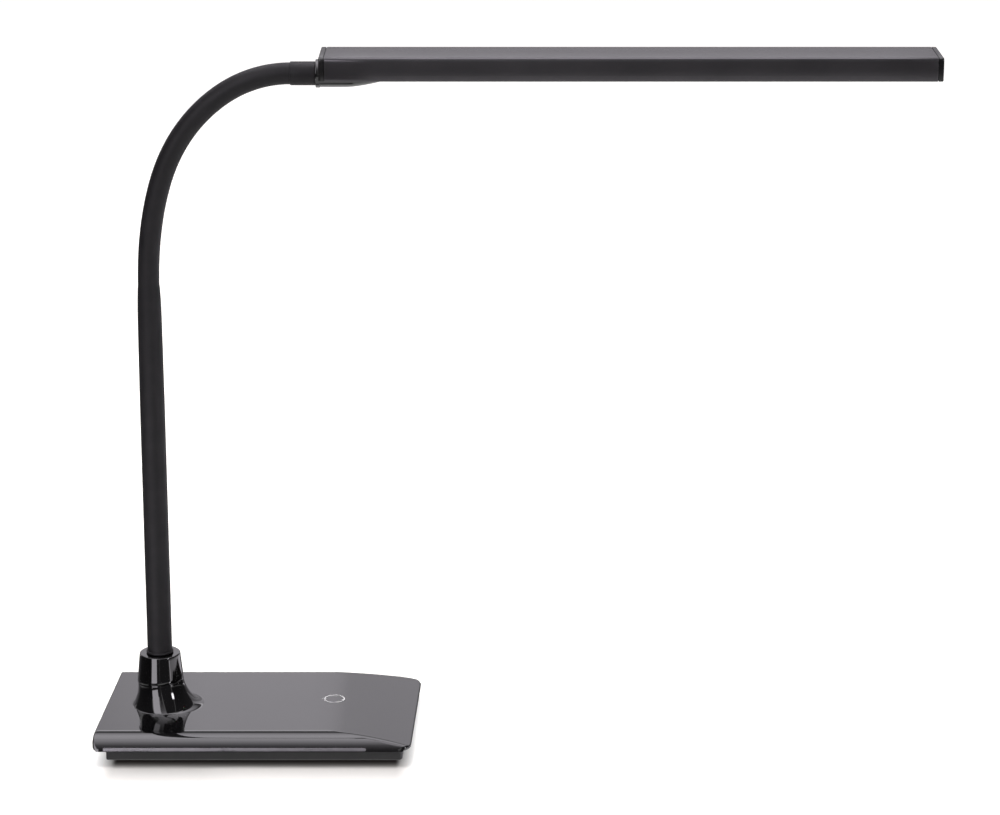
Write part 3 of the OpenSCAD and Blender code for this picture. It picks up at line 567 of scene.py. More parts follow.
def section(s, side=-1, x=0.0):
    """Depth, height and tilt on the front (-1) or back (1) edge, for s from 0 to 1."""
    crown_from, nose_from, crown, drop, last, wide, tall = edge_of(side, x)
    if s < CROWN_PART:
        t = s / CROWN_PART
        return crown_from + (nose_from - crown_from) * t, BASE["top"] - drop * t * t, crown * t
    tilt = crown + (last - crown) * (s - CROWN_PART) / (1 - CROWN_PART)
    return (nose_from + wide * (sin(tilt) - sin(crown)),
            BASE["top"] - drop - tall * (cos(crown) - cos(tilt)), tilt)


def section_at(height, side=-1, x=0.0):
    """Where on a long edge that height is reached."""
    low, high = 0.0, 1.0
    for _ in range(40):
        s = (low + high) / 2
        if section(s, side, x)[1] > height:
            low = s
        else:
            high = s
    return high if height < BASE["top"] else 0.0


print("round edges end at", [[round(v, 2) for v in section(1, k)[:2]] for k in (-1, 1)])

# %% Grid of the cover's skin
SOFTEST, EDGE_LENGTH, BLEND_X = 2.3, 22, 88


def row_point(row, x):
    """Depth, height and tilt of a row at x."""
    kind, side, t = row
    height = roof(x)
    edge_side = side or (-1 if t < 0 else 1)
    crest_s = section_at(height, edge_side, x)
    crest = section(crest_s, edge_side, x)[0]
    soft = 0.02 + SOFTEST * min(1.0, max(0.0, (x - DROOP_FROM) / 40))
    first = min(1.0, crest_s + soft / EDGE_LENGTH)
    if kind == "top":
        return t * (crest - soft), height, 0.0
    if kind == "edge":
        y_b, z_b, tilt = section(first, side, x)
        y, z = ((1 - t) ** 2 * p + 2 * t * (1 - t) * q + t * t * r
                for p, q, r in zip((crest - soft, height), (crest, height), (y_b, z_b)))
        return side * y, z, side * tilt * t
    y, z, tilt = section(first + (1 - first) * t, side, x)
    return side * y, z, side * tilt


def cover_point(station, row, inwards=0.0):
    """A point of the skin, or of its inner face: the station gives x, the row depth and height."""
    kind, side, value, drop = station
    y = row_point(row, 0)[0]
    for _ in range(12 if kind != "at" else 1):
        end = end_x(side or 1, y, BASE["edge"])
        moved_in = end_x(side or 1, y, value)
        x = {"at": value, "inset": moved_in, "wall": moved_in,
             "blend": end + (side * BLEND_X - end) * value}[kind]
        y, z, tilt = row_point(row, x)
    if kind == "wall":
        return x - side * inwards, y, max(min(z - BASE["edge"], drop), BASE["low"])
    lean = acos(max(0.0, 1 - drop / BASE["edge"])) if side and kind == "inset" else 0.0
    return (x - side * inwards * sin(lean), y - inwards * cos(lean) * sin(tilt),
            max(z - drop - inwards * cos(lean) * cos(tilt), BASE["low"]))


# Rows: "side" down a long edge, "edge" round its crest, "top" across the roof. Stations: "wall"
# under an end's edge, "inset" over its rounding, "blend" towards the middle and "at" a fixed x.
NOTCH_LEFT, NOTCH_RIGHT, NOTCH_TOP = -70.8, -57.8, 12.3
notch_s = section_at(NOTCH_TOP, 1)
tilts = [i / 36 for i in range(1, 37)]
tilts = sorted(set(tilts) - {min(tilts, key=lambda t: abs(t - notch_s))} | {notch_s})
around = [("edge", -1, t) for t in (0.84, 0.68, 0.52, 0.36, 0.2, 0.08)]
front_rows = [("side", -1, t) for t in reversed(tilts)] + [("side", -1, 0.0)] + around
tops = [-1, -0.99, -0.94, -0.8, -0.6, -0.4, -0.2, 0, 0.2, 0.4, 0.6, 0.8, 0.94, 0.99, 1]
back_rows = [(kind, 1, t) for kind, _, t in reversed(front_rows)]
rows = front_rows + [("top", 0, v) for v in tops] + back_rows
arc_steps = quarter(BASE["edge"])
under = [(1.4, 8.1), (0.75, 8.35), (0.3, 8.9), (0.06, 9.7), (0.0, 10.6)]
flat_x = [-88, -82, -76, NOTCH_LEFT, -67.5, -64.3, -61, NOTCH_RIGHT,
          -50, -40, -30, -20, -10, 0, 10, 20, 30, 36]
droop_xs = [40 + 1.5 * i for i in range(14)] + [62 + 2 * i for i in range(14)]
stations = [("wall", -1, d, z) for d, z in under]
stations += [("inset", -1, d, h) for d, h in reversed(arc_steps)]
stations += [("blend", -1, f, 0.0) for f in (0.04, 0.15, 0.4, 0.7)]
stations += [("at", 0, x, 0.0) for x in flat_x + droop_xs]
stations += [("blend", 1, f, 0.0) for f in (0.8, 0.6, 0.4, 0.25, 0.12, 0.04)]
stations += [("inset", 1, d, h) for d, h in arc_steps]
stations += [("wall", 1, d, z) for d, z in reversed(under)]
columns = [[cover_point(a, b) for b in rows] for a in stations]
outer_points, faces = loft(columns, ring_closed=False, caps=(False, False))
inner_points = [cover_point(a, b, BASE["wall"]) for a in stations for b in rows]


def in_notch(face):
    """Faces of the back edge in front of the power socket, which the cover leaves open."""
    x, y, z = (sum(outer_points[i][k] for i in face) / len(face) for k in range(3))
    return y > 55 and NOTCH_LEFT < x < NOTCH_RIGHT and z < NOTCH_TOP


faces = [face for face in faces if not in_notch(face)]
print("cover grid:", len(stations), "stations by", len(rows), "rows")

# %% Give the cover its wall
sides_of = {}
for face in faces:
    for pair in zip(face, face[1:] + face[:1]):
        sides_of.setdefault(frozenset(pair), []).append(pair)
count = len(outer_points)
rim = [(b, a, a + count, b + count) for (a, b), *more in sides_of.values() if not more]
inside = [tuple(count + i for i in reversed(face)) for face in faces]
add_piece("cover_skin", (outer_points + inner_points, faces + inside + rim), "stand", "cover_gloss",
          "gloss_black", "base_cover", angle=24)

# %% [markdown]
# ## The silver strip
# A thin satin strip is let into the lower part of the front edge. It follows the round edge, and
# its right end is rounded. It is a narrow patch of the same curve, a hair proud of it. A slightly
# larger matte black patch under it is painted shade for the fine gap of a pressed-in part.

# %% Strip and the painted shadow of its gap
def strip_patch(z_low, z_high, x_left, x_right, proud):
    """A patch on the front edge between two heights, with a round right end."""
    half, middle = (z_high - z_low) / 2, (z_high + z_low) / 2
    rings = []
    for i in range(9):
        z = z_low + (z_high - z_low) * i / 8
        y = -(section(section_at(z))[0] + proud)
        last = x_right - half + sqrt(max(half ** 2 - (z - middle) ** 2, 0))
        xs = [x_left + (last - x_left) * k / 24 for k in range(25)]
        rings.append([(x, y, z) for x in xs] + [(x, y + 0.5, z) for x in reversed(xs)])
    return loft(rings)


# A matte black patch a little larger than the strip: painted shade for the gap of its joint.
add_piece("strip_seat", strip_patch(8.3, 10.75, -95.4, 69.4, 0.03), "stand", "cover_gloss",
          "strip_seat")
add_piece("silver_strip", strip_patch(8.5, 10.4, -95, 69, 0.08), "stand", "trim_silver",
          "satin_silver", "front_trim")

# %% [markdown]
# ## The flare
# The cover rises into a small turned foot for the stand. Its side is a hollow curve and its top,
# the seam, leans five degrees. A plain lathe would meet the flat cover with a hard line, so each
# profile ends in a soft corner that touches the cover. The corner is wide on the right, where the
# lean leaves more room, and tight on the left.

# %% Frame of the seam and skin of the flare
STAND_X, SEAM_Z = -64.3, 34.0
SEAM_R, HOLLOW_R = 14.6, 26.3
seam = Matrix.Translation((STAND_X, 0, SEAM_Z)) @ Matrix.Rotation(radians(-5), 4, "Y")


def flare_at(angle, depth):
    """A point of the flare's side, at a depth below the seam."""
    r = SEAM_R + HOLLOW_R - sqrt(HOLLOW_R ** 2 - depth ** 2)
    return seam @ Vector((r * cos(angle), r * sin(angle), -depth))


def flare_profile(angle):
    """Points from inside the seam, over the rim, down the side and out onto the cover."""
    rim = [seam @ Vector((r * cos(angle), r * sin(angle), z))
           for r, z in [(11.8, -0.6), (SEAM_R - 0.75, -0.6), (SEAM_R - 0.6, -0.35),
                        (SEAM_R - 0.42, -0.16), (SEAM_R - 0.2, -0.1), (SEAM_R - 0.06, -0.2)]]
    lift = 0.5 + 2.6 * max(0.0, cos(angle)) ** 2
    low, high = 5.0, 24.0
    for _ in range(40):
        depth = (low + high) / 2
        if flare_at(angle, depth).z > BASE["top"] + lift:
            low = depth
        else:
            high = depth
    side = [flare_at(angle, 0.45 + (depth - 0.45) * i / 24) for i in range(25)]
    slope = (flare_at(angle, depth) - flare_at(angle, depth - 0.01)).normalized()
    corner = side[-1] + slope * ((BASE["top"] - side[-1].z) / slope.z)
    out = Vector((slope.x, slope.y, 0)).normalized() * (corner - side[-1]).length
    foot = rounded(side[-1], corner, corner + out, 12)[1:]
    return rim + side + foot


flare_rings = [[tuple(p) for p in flare_profile(2 * pi * i / 128)] for i in range(128)]
flare = add_object("flare_skin", mesh_of(
    "flare_skin", loft(flare_rings, ring_closed=False, path_closed=True), angle=40, outward=False))
if sum(f.normal.z * f.area for f in flare.data.polygons) < 0:
    flare.data.flip_normals()
    shade(flare.data, 40)
place_piece(flare, "stand", "cover_gloss", "gloss_black", "stand_flare")

# %% [markdown]
# ## The collar
# The collar is a separate black cone on the flare. It stands upright, so its lower rim is cut by
# the leaning seam. Each profile therefore starts at its own height. Both rims are rounded, because
# a moulded edge always catches a fine line of light.

# %% Skin of the collar
COLLAR_TOP, COLLAR_TOP_R, COLLAR_RIM, COLLAR_BORE, SLEEVE_BORE = 51.7, 12.9, 0.75, 11.9, 6.6
CONE = (14.954 - COLLAR_TOP_R) / 20.7


def cone_r(z):
    return COLLAR_TOP_R + CONE * (COLLAR_TOP - z)


def collar_profile(angle):
    """Points from the leaning seam up the cone, over the rim and back down inside."""
    seam_z = SEAM_Z + tan(radians(5)) * cone_r(SEAM_Z) * cos(angle)
    r = cone_r(seam_z)
    low = [(COLLAR_BORE, seam_z + 0.62), (r - 0.62, seam_z + 0.62), (r - 0.45, seam_z + 0.3),
           (r - 0.25, seam_z + 0.16), (r - 0.08, seam_z + 0.25)]
    start, stop = seam_z + 0.45, COLLAR_TOP - COLLAR_RIM
    side = [(cone_r(z), z) for z in [start + (stop - start) * i / 10 for i in range(11)]]
    top = rounded((cone_r(stop), stop), (COLLAR_TOP_R, COLLAR_TOP),
                  (COLLAR_TOP_R - COLLAR_RIM, COLLAR_TOP), 6)[1:]
    inside = [(COLLAR_TOP_R - 1.2, COLLAR_TOP), (SLEEVE_BORE, COLLAR_TOP),
              (SLEEVE_BORE, COLLAR_TOP - 3), (COLLAR_BORE, COLLAR_TOP - 3)]
    return low + side + top + inside


collar_rings = []
for i in range(128):
    a = 2 * pi * i / 128
    collar_rings.append([(STAND_X + r * cos(a), r * sin(a), z) for r, z in collar_profile(a)])
add_piece("collar_skin", loft(collar_rings, path_closed=True), "stand", "trim_gloss", "gloss_trim",
          "arm_collar", angle=38)

# %% [markdown]
# ## The touch mark
# The switch is a thin pale ring with a short tick, printed flush in the cover. It is a flat ring
# and a small bar, a few hundredths of a millimetre proud, so that it never fights with the cover.

# %% Ring and tick
MARK_X, MARK_Y, MARK_R, MARK_LINE, MARK_PROUD = 46.2, 7.0, 6.35, 1.1, 0.06


def flat_ring(inner, outer, z, steps=96):
    profile = [(inner, z - 0.2), (outer, z - 0.2), (outer, z - 0.01), (outer - 0.02, z),
               (inner + 0.02, z), (inner, z - 0.01)]
    return moved(turned(profile, steps), Matrix.Translation((MARK_X, MARK_Y, 0)))


def block(x0, x1, y0, y1, levels):
    """A block from levels of (inset, height)."""
    return loft([[(x0 + d, y0 + d, z), (x1 - d, y0 + d, z), (x1 - d, y1 - d, z),
                  (x0 + d, y1 - d, z)] for d, z in levels])


def bar(x0, x1, y0, y1, z0, z1):
    """A bar with a fine chamfer round its top."""
    return block(x0, x1, y0, y1, ((0, z0), (0, z1 - 0.02), (0.02, z1)))


tick_x, half_line, top = MARK_X - MARK_R, MARK_LINE / 2, BASE["top"]
add_piece("touch_mark", join(
    flat_ring(MARK_R - half_line, MARK_R + half_line, top + MARK_PROUD),
    bar(tick_x - 1.6, tick_x + 1.6, MARK_Y - half_line, MARK_Y + half_line, top - 0.1, top + 0.05)),
    "stand", "mark_white", "printed_mark", "touch_ring")

# %% [markdown]
# ## The tray
# The tray closes the cover from below and stands back from its edge, which makes the base look as
# if it floats. It is a shallow dish: a loft of outlines, each moved in by its own amount, out over
# the wall and back down inside. Boolean cutters take out the four screw wells.

# %% Outline of the base, moved in
def plan_loop(inset, z, steps=10):
    """The base's outline from above, moved in, as points at one height."""
    loop = []
    corners = ((-1, -1, 177, 270), (1, -1, 270, 358), (1, 1, 358, 450), (-1, 1, 90, 177))
    for side, back, start, stop in corners:
        rake, corner = end_of(side)
        cy = back * (BASE["half_depth"] - corner)
        cx = side * (BASE["half_length"] - corner / cos(rake)) + cy * tan(rake)
        r = corner - inset
        if r < 0.5:
            cx, cy, r = cx + side * (r - 0.5), cy + back * (r - 0.5), 0.5
        for i in range(steps + 1):
            a = radians(start + (stop - start) * i / steps)
            loop.append((cx + r * cos(a), cy + r * sin(a), z))
    return loop


print("outline points:", len(plan_loop(0, 0)))

# %% The tray and its screw wells
TRAY_IN, LEFT_IN, FOOT_H, TRAY_TOP = 5.5, 2.6, 0.25, 8.1
screw_places = [(x, y) for x in (-85, 85) for y in (-46, 46)]
levels = [(2, 3.2), (2, TRAY_TOP), (0, TRAY_TOP)]
foot_edge = [(0, 1.1), (0.08, 0.68), (0.32, 0.32), (0.68, 0.08), (1.1, 0)]
levels += [(d, FOOT_H + h) for d, h in foot_edge]
tray_rings = [plan_loop(TRAY_IN + d, z) for d, z in levels]
tray_rings = [[(x + (LEFT_IN if x < 0 else 0) * min(1, -x / 80), y, z) for x, y, z in ring]
              for ring in tray_rings]
tray = add_object("tray_skin", mesh_of("tray_skin", loft(tray_rings), angle=35))
well = turned([(0, -1), (3.05, -1), (3.05, 2.6), (0, 2.6)], 32, closed=False)
wells = [moved(well, Matrix.Translation((x, y, 0))) for x, y in screw_places]
cutter = add_object("cutter", mesh_of("cutter", join(*wells)))
cut = tray.modifiers.new("wells", "BOOLEAN")
cut.operation, cut.object, cut.solver = "DIFFERENCE", cutter, "EXACT"
baked(tray)
bpy.data.objects.remove(cutter)
shade(tray.data, 35)
place_piece(tray, "stand", "tray_plastic", "satin_plastic", "base_tray")

# %% [markdown]
# ## The stand's sleeve
# The lower part of the arm is a steel tube in the same silicone as the neck. The sleeve starts
# with a moulded bead on the collar and gets slimmer by a hair on its way up. It is a lathe whose
# profile passes through a few measured radii.

# %% Lathe of the stand's sleeve
FLEX_Z, NECK_R, NECK_BORE, BEAD_R = 293.0, 6.65, 6.45, 0.8
measured = [(53.6, 7.83), (90, 7.82), (140, 7.8), (180, 7.78), (220, 7.73), (251, 7.58), (265, 7.5),
            (277, 7.4), (284, 7.2), (290, 6.93), (293, 6.78), (296, 6.68)]


def sleeve_r(z):
    """Radius of the sleeve at a height, between the measured ones."""
    for (z0, r0), (z1, r1) in zip(measured, measured[1:]):
        if z <= z1:
            return r0 + (r1 - r0) * (z - z0) / (z1 - z0)


bead = [(7.8 + BEAD_R * cos(a), 52.62 + BEAD_R * sin(a))
        for a in [radians(-88 + 11.5 * i) for i in range(16)]]
column = [(sleeve_r(z), z) for z in [54 + 4 * i for i in range(56)] + [277 + i for i in range(16)]]
smooth = [column[0]] + [(sum(r for r, _ in column[i - 1:i + 2]) / 3, column[i][1])
                        for i in range(1, len(column) - 1)] + [(NECK_R, FLEX_Z)]
profile = [(NECK_BORE, 51.82)] + bead + smooth + [(NECK_BORE, FLEX_Z)]
add_piece("stand_sleeve_skin", moved(turned(profile, 64), Matrix.Translation((STAND_X, 0, 0))),
          "stand", "sleeve_black", "matte_sleeve", "stand_sleeve")

# %% [markdown]
# ## The neck's sleeve
# Above the tube the same sleeve covers a metal hose that bends in eight cells. A tube along a path
# is what Geometry Nodes do well: a polyline becomes a curve, and a circle is swept along it. Each
# cell is its own piece, a tube on its own arc of the path. Two very short steps at
# the ends hold the end rings square to the path, so that neighbours meet without a gap.

# %% Tree: sweep a tube along a path
def end_tree(tree, shape, finish, ending):
    """Ends a tree: copies become real and take the finish."""
    real = node(tree, "GeometryNodeRealizeInstances", {"Geometry": shape})
    painted = node(tree, "GeometryNodeSetMaterial",
                   {"Geometry": real.outputs[0], "Material": finish})
    feed(tree, ending["Geometry"], painted.outputs[0])


def run_tree(name, tree, mesh, **values):
    """Runs a tree on a mesh and keeps the result as a plain mesh."""
    carrier = add_object(name, mesh)
    modifier = carrier.modifiers.new("nodes", "NODES")
    modifier.node_group = tree
    for item in tree.interface.items_tree:
        if item.in_out == "INPUT" and item.name in values:
            modifier[item.identifier] = values[item.name]
    return baked(carrier)


sweep, g_in, g_out = start_group(
    "sweep a tube", "Geometry", Geometry="Geometry", Radius=NECK_R * MM, Sides=64,
    Finish="Material")
line = node(sweep, "GeometryNodeMeshToCurve", {"Mesh": g_in["Geometry"]}).outputs["Curve"]
circle = node(sweep, "GeometryNodeCurvePrimitiveCircle",
              {"Resolution": g_in["Sides"], "Radius": g_in["Radius"]}).outputs["Curve"]
swept = node(sweep, "GeometryNodeCurveToMesh",
             {"Curve": line, "Profile Curve": circle, "Fill Caps": True})
end_tree(sweep, swept.outputs["Mesh"], g_in["Finish"], g_out)

# %% The neck's path, cell by cell
CELL, BENDS = 22.3, [5, 5.5, 7, 11.5, 13, 13.5, 17, 17.5]


def step_along(at, length, bend, s):
    """Place and heading on an arc; headings are from +Z towards +X, in radians."""
    x, z, heading = at
    r, after = length / bend, heading + bend * s / length
    return x + r * (cos(heading) - cos(after)), z + r * (sin(after) - sin(heading)), after


links = ["stand"] + [f"link_{k}" for k in range(1, 8)] + ["head"]
stops = [0, 0.02] + [CELL * i / 24 for i in range(1, 24)] + [CELL - 0.02, CELL]
at = (STAND_X, FLEX_Z, 0.0)
for k, bend in enumerate(BENDS, 1):
    path = [step_along(at, CELL, radians(bend), s) for s in stops]
    points = [(x * MM, 0, z * MM) for x, z, _ in path]
    wire = bpy.data.meshes.new(f"path_{k}")
    wire.from_pydata(points, [(i, i + 1) for i in range(len(path) - 1)], [])
    skin = run_tree(f"neck_sleeve_{k}", sweep, wire, Radius=NECK_R * MM, Sides=64,
                    Finish=finishes["matte_sleeve"])
    shade(skin.data, 35)
    place_piece(skin, (links[k - 1], links[k]), "sleeve_black", None, f"sleeve_{k}")
    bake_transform(skin)
    at = path[-1]
NECK_X, NECK_Z, heading = at
print("the neck ends at", round(NECK_X, 2), round(NECK_Z, 2), "heading", round(degrees(heading), 1))

# %% [markdown]
# ## The ferrule and the holder
# A short ferrule ends the neck, then a thin flange, and under the head a half-round arm that
# tapers away. The ferrule and the flange are lathes. The arm is a loft of half circles that get
# smaller, closed by a flat top that lies against the head.

# %% Ferrule
lay_down = Matrix.Rotation(radians(90), 4, "Y")


def beside_neck(made, x):
    """Turns a lathe about Z to lie along the neck's end, starting at x."""
    return moved(made, Matrix.Translation((x, 0, NECK_Z)) @ lay_down)


def round_rims(bore, r, start, stop, soft):
    """Profile of a disc or ring with two rounded rims."""
    return ([(bore, start)] + rounded((r - soft, start), (r, start), (r, start + soft))
            + rounded((r, stop - soft), (r, stop), (r - soft, stop)) + [(bore, stop)])


ferrule = turned(round_rims(5.2, 7.25, 0, 15.45, 0.5), 96)
add_piece("ferrule_skin", beside_neck(ferrule, NECK_X), "head", "sleeve_black", "matte_sleeve",
          "neck_ferrule")

# %% Flange, half-round arm and tongue
FLANGE_X, ARM_R, ARM_FLAT = NECK_X + 15.5, 8.2, 1.5
HEAD_X, HEAD_Z = FLANGE_X + 2.6, NECK_Z - ARM_FLAT
taper = [(x, ARM_R - 3.1 * ((x - 16.4) / 19.6) ** 1.5) for x in [16.4 + 1.4 * i for i in range(15)]]
straight = [(x, ARM_R) for x in (0, 6, 12)]
tip = [(36.6, 4.6), (37.1, 3.8), (37.4, 2.8), (37.5, 1.8)]
arm_rings = []
for x, r in straight + taper + tip:
    start = asin(min(1.0, ARM_FLAT / r))
    turns = [-start - (pi - 2 * start) * i / 28 for i in range(29)]
    arm_rings.append([(HEAD_X + x, r * cos(a), NECK_Z + r * sin(a)) for a in turns])
tongue = bar(HEAD_X + 0.2, HEAD_X + 42, -15.6, 15.6, HEAD_Z + 0.02, HEAD_Z + 1)
flange = beside_neck(turned(round_rims(0, 8.6, 0, 2.55, 0.4), 96, closed=False), FLANGE_X)
add_piece("holder_skin", join(flange, loft(arm_rings), tongue), "head", "trim_gloss", "gloss_trim",
          "neck_holder", angle=32)

# %% [markdown]
# ## The head
# The head is an aluminium extrusion, so its skin is one section pulled along X: flat top and
# underside, sides that bulge a little, soft edges, and a channel below with slots for the
# diffuser. The same outline, made smaller ring by ring, gives the two end caps their round rims.
# Each cap starts with a smaller ring, which shows as a fine joint.

# %% Section of the head
HEAD_HALF, HEAD_H, HEAD_L, CAP_L, BULGE_R = 20.25, 14.5, 368.8, 3.5, 60
SOFT, SOFT_TOP, BODY_X = 0.45, 1.8, HEAD_X + CAP_L


def bulge(z):
    """Half depth of the head at a height above its underside."""
    return HEAD_HALF - BULGE_R + sqrt(BULGE_R ** 2 - (z - HEAD_H / 2) ** 2)


def outline(shrink=0.0):
    """The whole outline as (depth, height), moved in by an amount."""
    wide, top = bulge(HEAD_H), HEAD_H - SOFT_TOP
    low = rounded((bulge(0) - SOFT, 0), (bulge(0), 0), (bulge(SOFT), SOFT))
    middle = [(bulge(z), z) for z in [SOFT + (top - SOFT) * i / 16 for i in range(1, 16)]]
    half = low + middle + rounded((bulge(top), top), (wide, HEAD_H), (wide - SOFT_TOP, HEAD_H))
    middle, narrower, lower = HEAD_H / 2, 1 - shrink / HEAD_HALF, 1 - 2 * shrink / HEAD_H
    return [(y * narrower, middle + (z - middle) * lower)
            for y, z in half + [(-y, z) for y, z in reversed(half)]]


def across(section, x):
    """A section of the head at x."""
    return [(x, y, HEAD_Z + z) for y, z in section]


channel = [(-16, 0), (-16, 1), (-17.8, 1), (-17.8, 2.8), (-17.2, 2.8), (-17.2, 6)]
channel += [(-y, z) for y, z in reversed(channel)]
extrusion = outline() + channel
inner = [(y * 0.994, 7.25 + (z - 7.25) * 0.988) for y, z in outline()] + channel
spans = [(0, inner), (0.2, extrusion)] + [(HEAD_L * i / 12, extrusion) for i in range(1, 12)]
spans += [(HEAD_L - 0.2, extrusion), (HEAD_L, inner)]
add_piece("head_skin", loft([across(s, BODY_X + x) for x, s in spans]), "head", "head_aluminium",
          "anodised", "head_housing", angle=32)

# %% The two end caps
for name, start, away in (("left", BODY_X, -1), ("right", BODY_X + HEAD_L, 1)):
    rings = [across(outline(shrink), start + away * x)
             for x, shrink in ((0.02, 0.5), (0.3, 0.5), (0.55, 0))]
    rings += [across(outline(drop), start + away * (CAP_L - back)) for back, drop in quarter(0.8)]
    add_piece("cap_" + name, loft(rings), "head", "cap_dark", "cap_plastic", "end_cap_" + name,
              angle=40)

# %% [markdown]
# ## Screws and LEDs
# Small parts that repeat are made once and set on points. The tree takes the part as an object,
# turns each copy by a random angle from a fixed seed, and makes the copies real. The points carry
# no turn of their own, so screws that face another way use a form that already lies that way.
# The end caps' screws are sunk, so each is a thin head on a long shank.

# %% Tree: set a small part on points
scatter, g_in, g_out = start_group(
    "set parts on points", "Geometry", Geometry="Geometry", Part="Object", Spin=0.0,
    Axis=(0.0, 0.0, 1.0), Seed=7, Finish="Material")
info = node(scatter, "GeometryNodeObjectInfo", {"Object": g_in["Part"], "As Instance": True})
random = node(scatter, "FunctionNodeRandomValue", {"Seed": g_in["Seed"]})
feed(scatter, [s for s in random.inputs if s.name == "Max" and s.type == "VALUE"][0], g_in["Spin"])
turn = node(scatter, "FunctionNodeAxisAngleToRotation", {
    "Axis": g_in["Axis"], "Angle": [s for s in random.outputs if s.type == "VALUE"][0]})
on_points = node(scatter, "GeometryNodeInstanceOnPoints", {
    "Points": g_in["Geometry"], "Instance": info.outputs["Geometry"],
    "Rotation": turn.outputs["Rotation"]})
end_tree(scatter, on_points.outputs["Instances"], g_in["Finish"], g_out)

# %% A screw head with a hexagonal recess
FULL_TURN, DOWN = 6.28, (0, 0, -1)


def screw_head(radius, height, direction):
    """A pan head that stands on the origin and faces along a direction."""
    rings = []
    for r, z, hexagon in ((1, 0, False), (1, 0.55, False), (0.94, 0.85, False), (0.8, 1, False),
                          (0.5, 1, True), (0.46, 0.35, True)):
        ring = []
        for a in [2 * pi * i / 24 for i in range(24)]:
            flat = cos(radians(30)) / cos(a % (pi / 3) - pi / 6) if hexagon else 1
            ring.append((radius * r * flat * cos(a), radius * r * flat * sin(a), height * z))
        rings.append(ring)
    return moved(loft(rings), facing(direction))


def set_parts(name, form, points_mm, slot, finish, *stands_for, spin=0.0, axis=(0, 0, 1),
              body="head"):
    """Sets a small form on points with the tree, as one piece."""
    part = add_object("part", mesh_of("part", form, 35))
    dots = bpy.data.meshes.new(name)
    dots.from_pydata([[c * MM for c in p] for p in points_mm], [], [])
    piece = run_tree(name, scatter, dots, Part=part, Spin=spin, Axis=axis, Seed=7,
                     Finish=finishes[finish])
    bpy.data.objects.remove(part)
    shade(piece.data, 35)
    place_piece(piece, body, slot, None, *stands_for)


set_parts("tray_screw_heads", screw_head(2.7, 0.9, DOWN), [(x, y, 2.6) for x, y in screw_places],
          "screw_black", "black_screw", spin=FULL_TURN, body="stand")
port_z = HEAD_Z + HEAD_H - 3.4
for name, side, x, nodes in (("left", -1, HEAD_X + 0.05, []),
                             ("right", 1, BODY_X + HEAD_L + 3.45, ["cap_screws"])):
    shank = turned([(0, -9), (0.7, -9), (1.1, -8.4), (1.1, 0)], 16, closed=False)
    form = join(screw_head(2.1, 0.12, (side, 0, 0)), moved(shank, facing((side, 0, 0))))
    set_parts("cap_screws_" + name, form, [(x, y, port_z) for y in (-14.45, 14.45)], "screw_black",
              "black_screw", *nodes, spin=FULL_TURN, axis=(1, 0, 0))
set_parts("holder_screw_heads", screw_head(2.8, 0.9, DOWN),
          [(BODY_X + 6, y, HEAD_Z + 0.02) for y in (-11.5, 11.5)], "screw_black", "black_screw",
          spin=FULL_TURN)

# %% LEDs along the head
LEDS, LED_START = 36, 41
pitch, led_z = (HEAD_L - LED_START - 6) / LEDS, HEAD_Z + 4.55
spots = [(BODY_X + LED_START + (i + 0.5) * pitch, 0, led_z) for i in range(LEDS)]
package = block(-1.75, 1.75, -1.4, 1.4, ((0, 0), (0, -0.62), (0.12, -0.8)))
window = loft([[(r * cos(a), r * sin(a), z) for a in [pi * i / 6 for i in range(12)]]
               for r, z in ((1.05, -0.78), (1.0, -0.86), (0.6, -0.92), (0.15, -0.94))])
set_parts("led_packages", package, spots, "board_white", "white_mask", "led_chips")
set_parts("led_windows", window, spots, "led_yellow", "phosphor")

# %% [markdown]
# ## The studio
# The lamp stands on a plain white floor. Glossy black only shows what it reflects, so the look of
# the base is made by what stands around it: a bright room behind, a large panel overhead, a tall
# softbox at the front left and dark cards between them. The panels are only seen in reflections,
# and the lamps that make the light and the shadow are separate, so each can be set alone. The
# floor glows up to pure white. Close to the tray a contact shadow is painted into it: by the
# distance from the tray, its colour turns dark and its glow fades.
# Nearly all cards are far away. One is close, so that the collar and the head see it in different
# directions: it ends up in the collar and stays out of the head.

# %% Background
def seen_directly(tree):
    """1 for what the camera sees, also in a mirror or through glass, and 0 for other light."""
    rays = node(tree, "ShaderNodeLightPath").outputs
    seen = calculate(tree, "ADD", rays["Is Camera Ray"], rays["Is Glossy Ray"])
    return calculate(tree, "ADD", seen, rays["Is Transmission Ray"], clamp=True)


world = bpy.data.worlds.new("studio")
scene.world = world
world.use_nodes = True
air = world.node_tree.nodes["Background"].inputs
air["Color"].default_value = (1, 1, 1, 1)
feed(world.node_tree, air["Strength"],
     spread(world.node_tree, seen_directly(world.node_tree), 0.45, 1.0, 0.0, 1.0))
print("background ready")

# %% Floor with a painted contact shadow
FLOOR_HALF, TRAY_HALF, END_SQUEEZE = 14, (0.087, 0.0565, 0), (3.6, 1, 1)
floor_mesh = bpy.data.meshes.new("floor")
corners = [(x * FLOOR_HALF, y * FLOOR_HALF, 0) for x, y in ((-1, -1), (1, -1), (1, 1), (-1, 1))]
floor_mesh.from_pydata(corners, [], [(0, 1, 2, 3)])
floor = add_object("floor", floor_mesh)
paper, tree, shader, where = start_material("white_paper_painted_shadow")
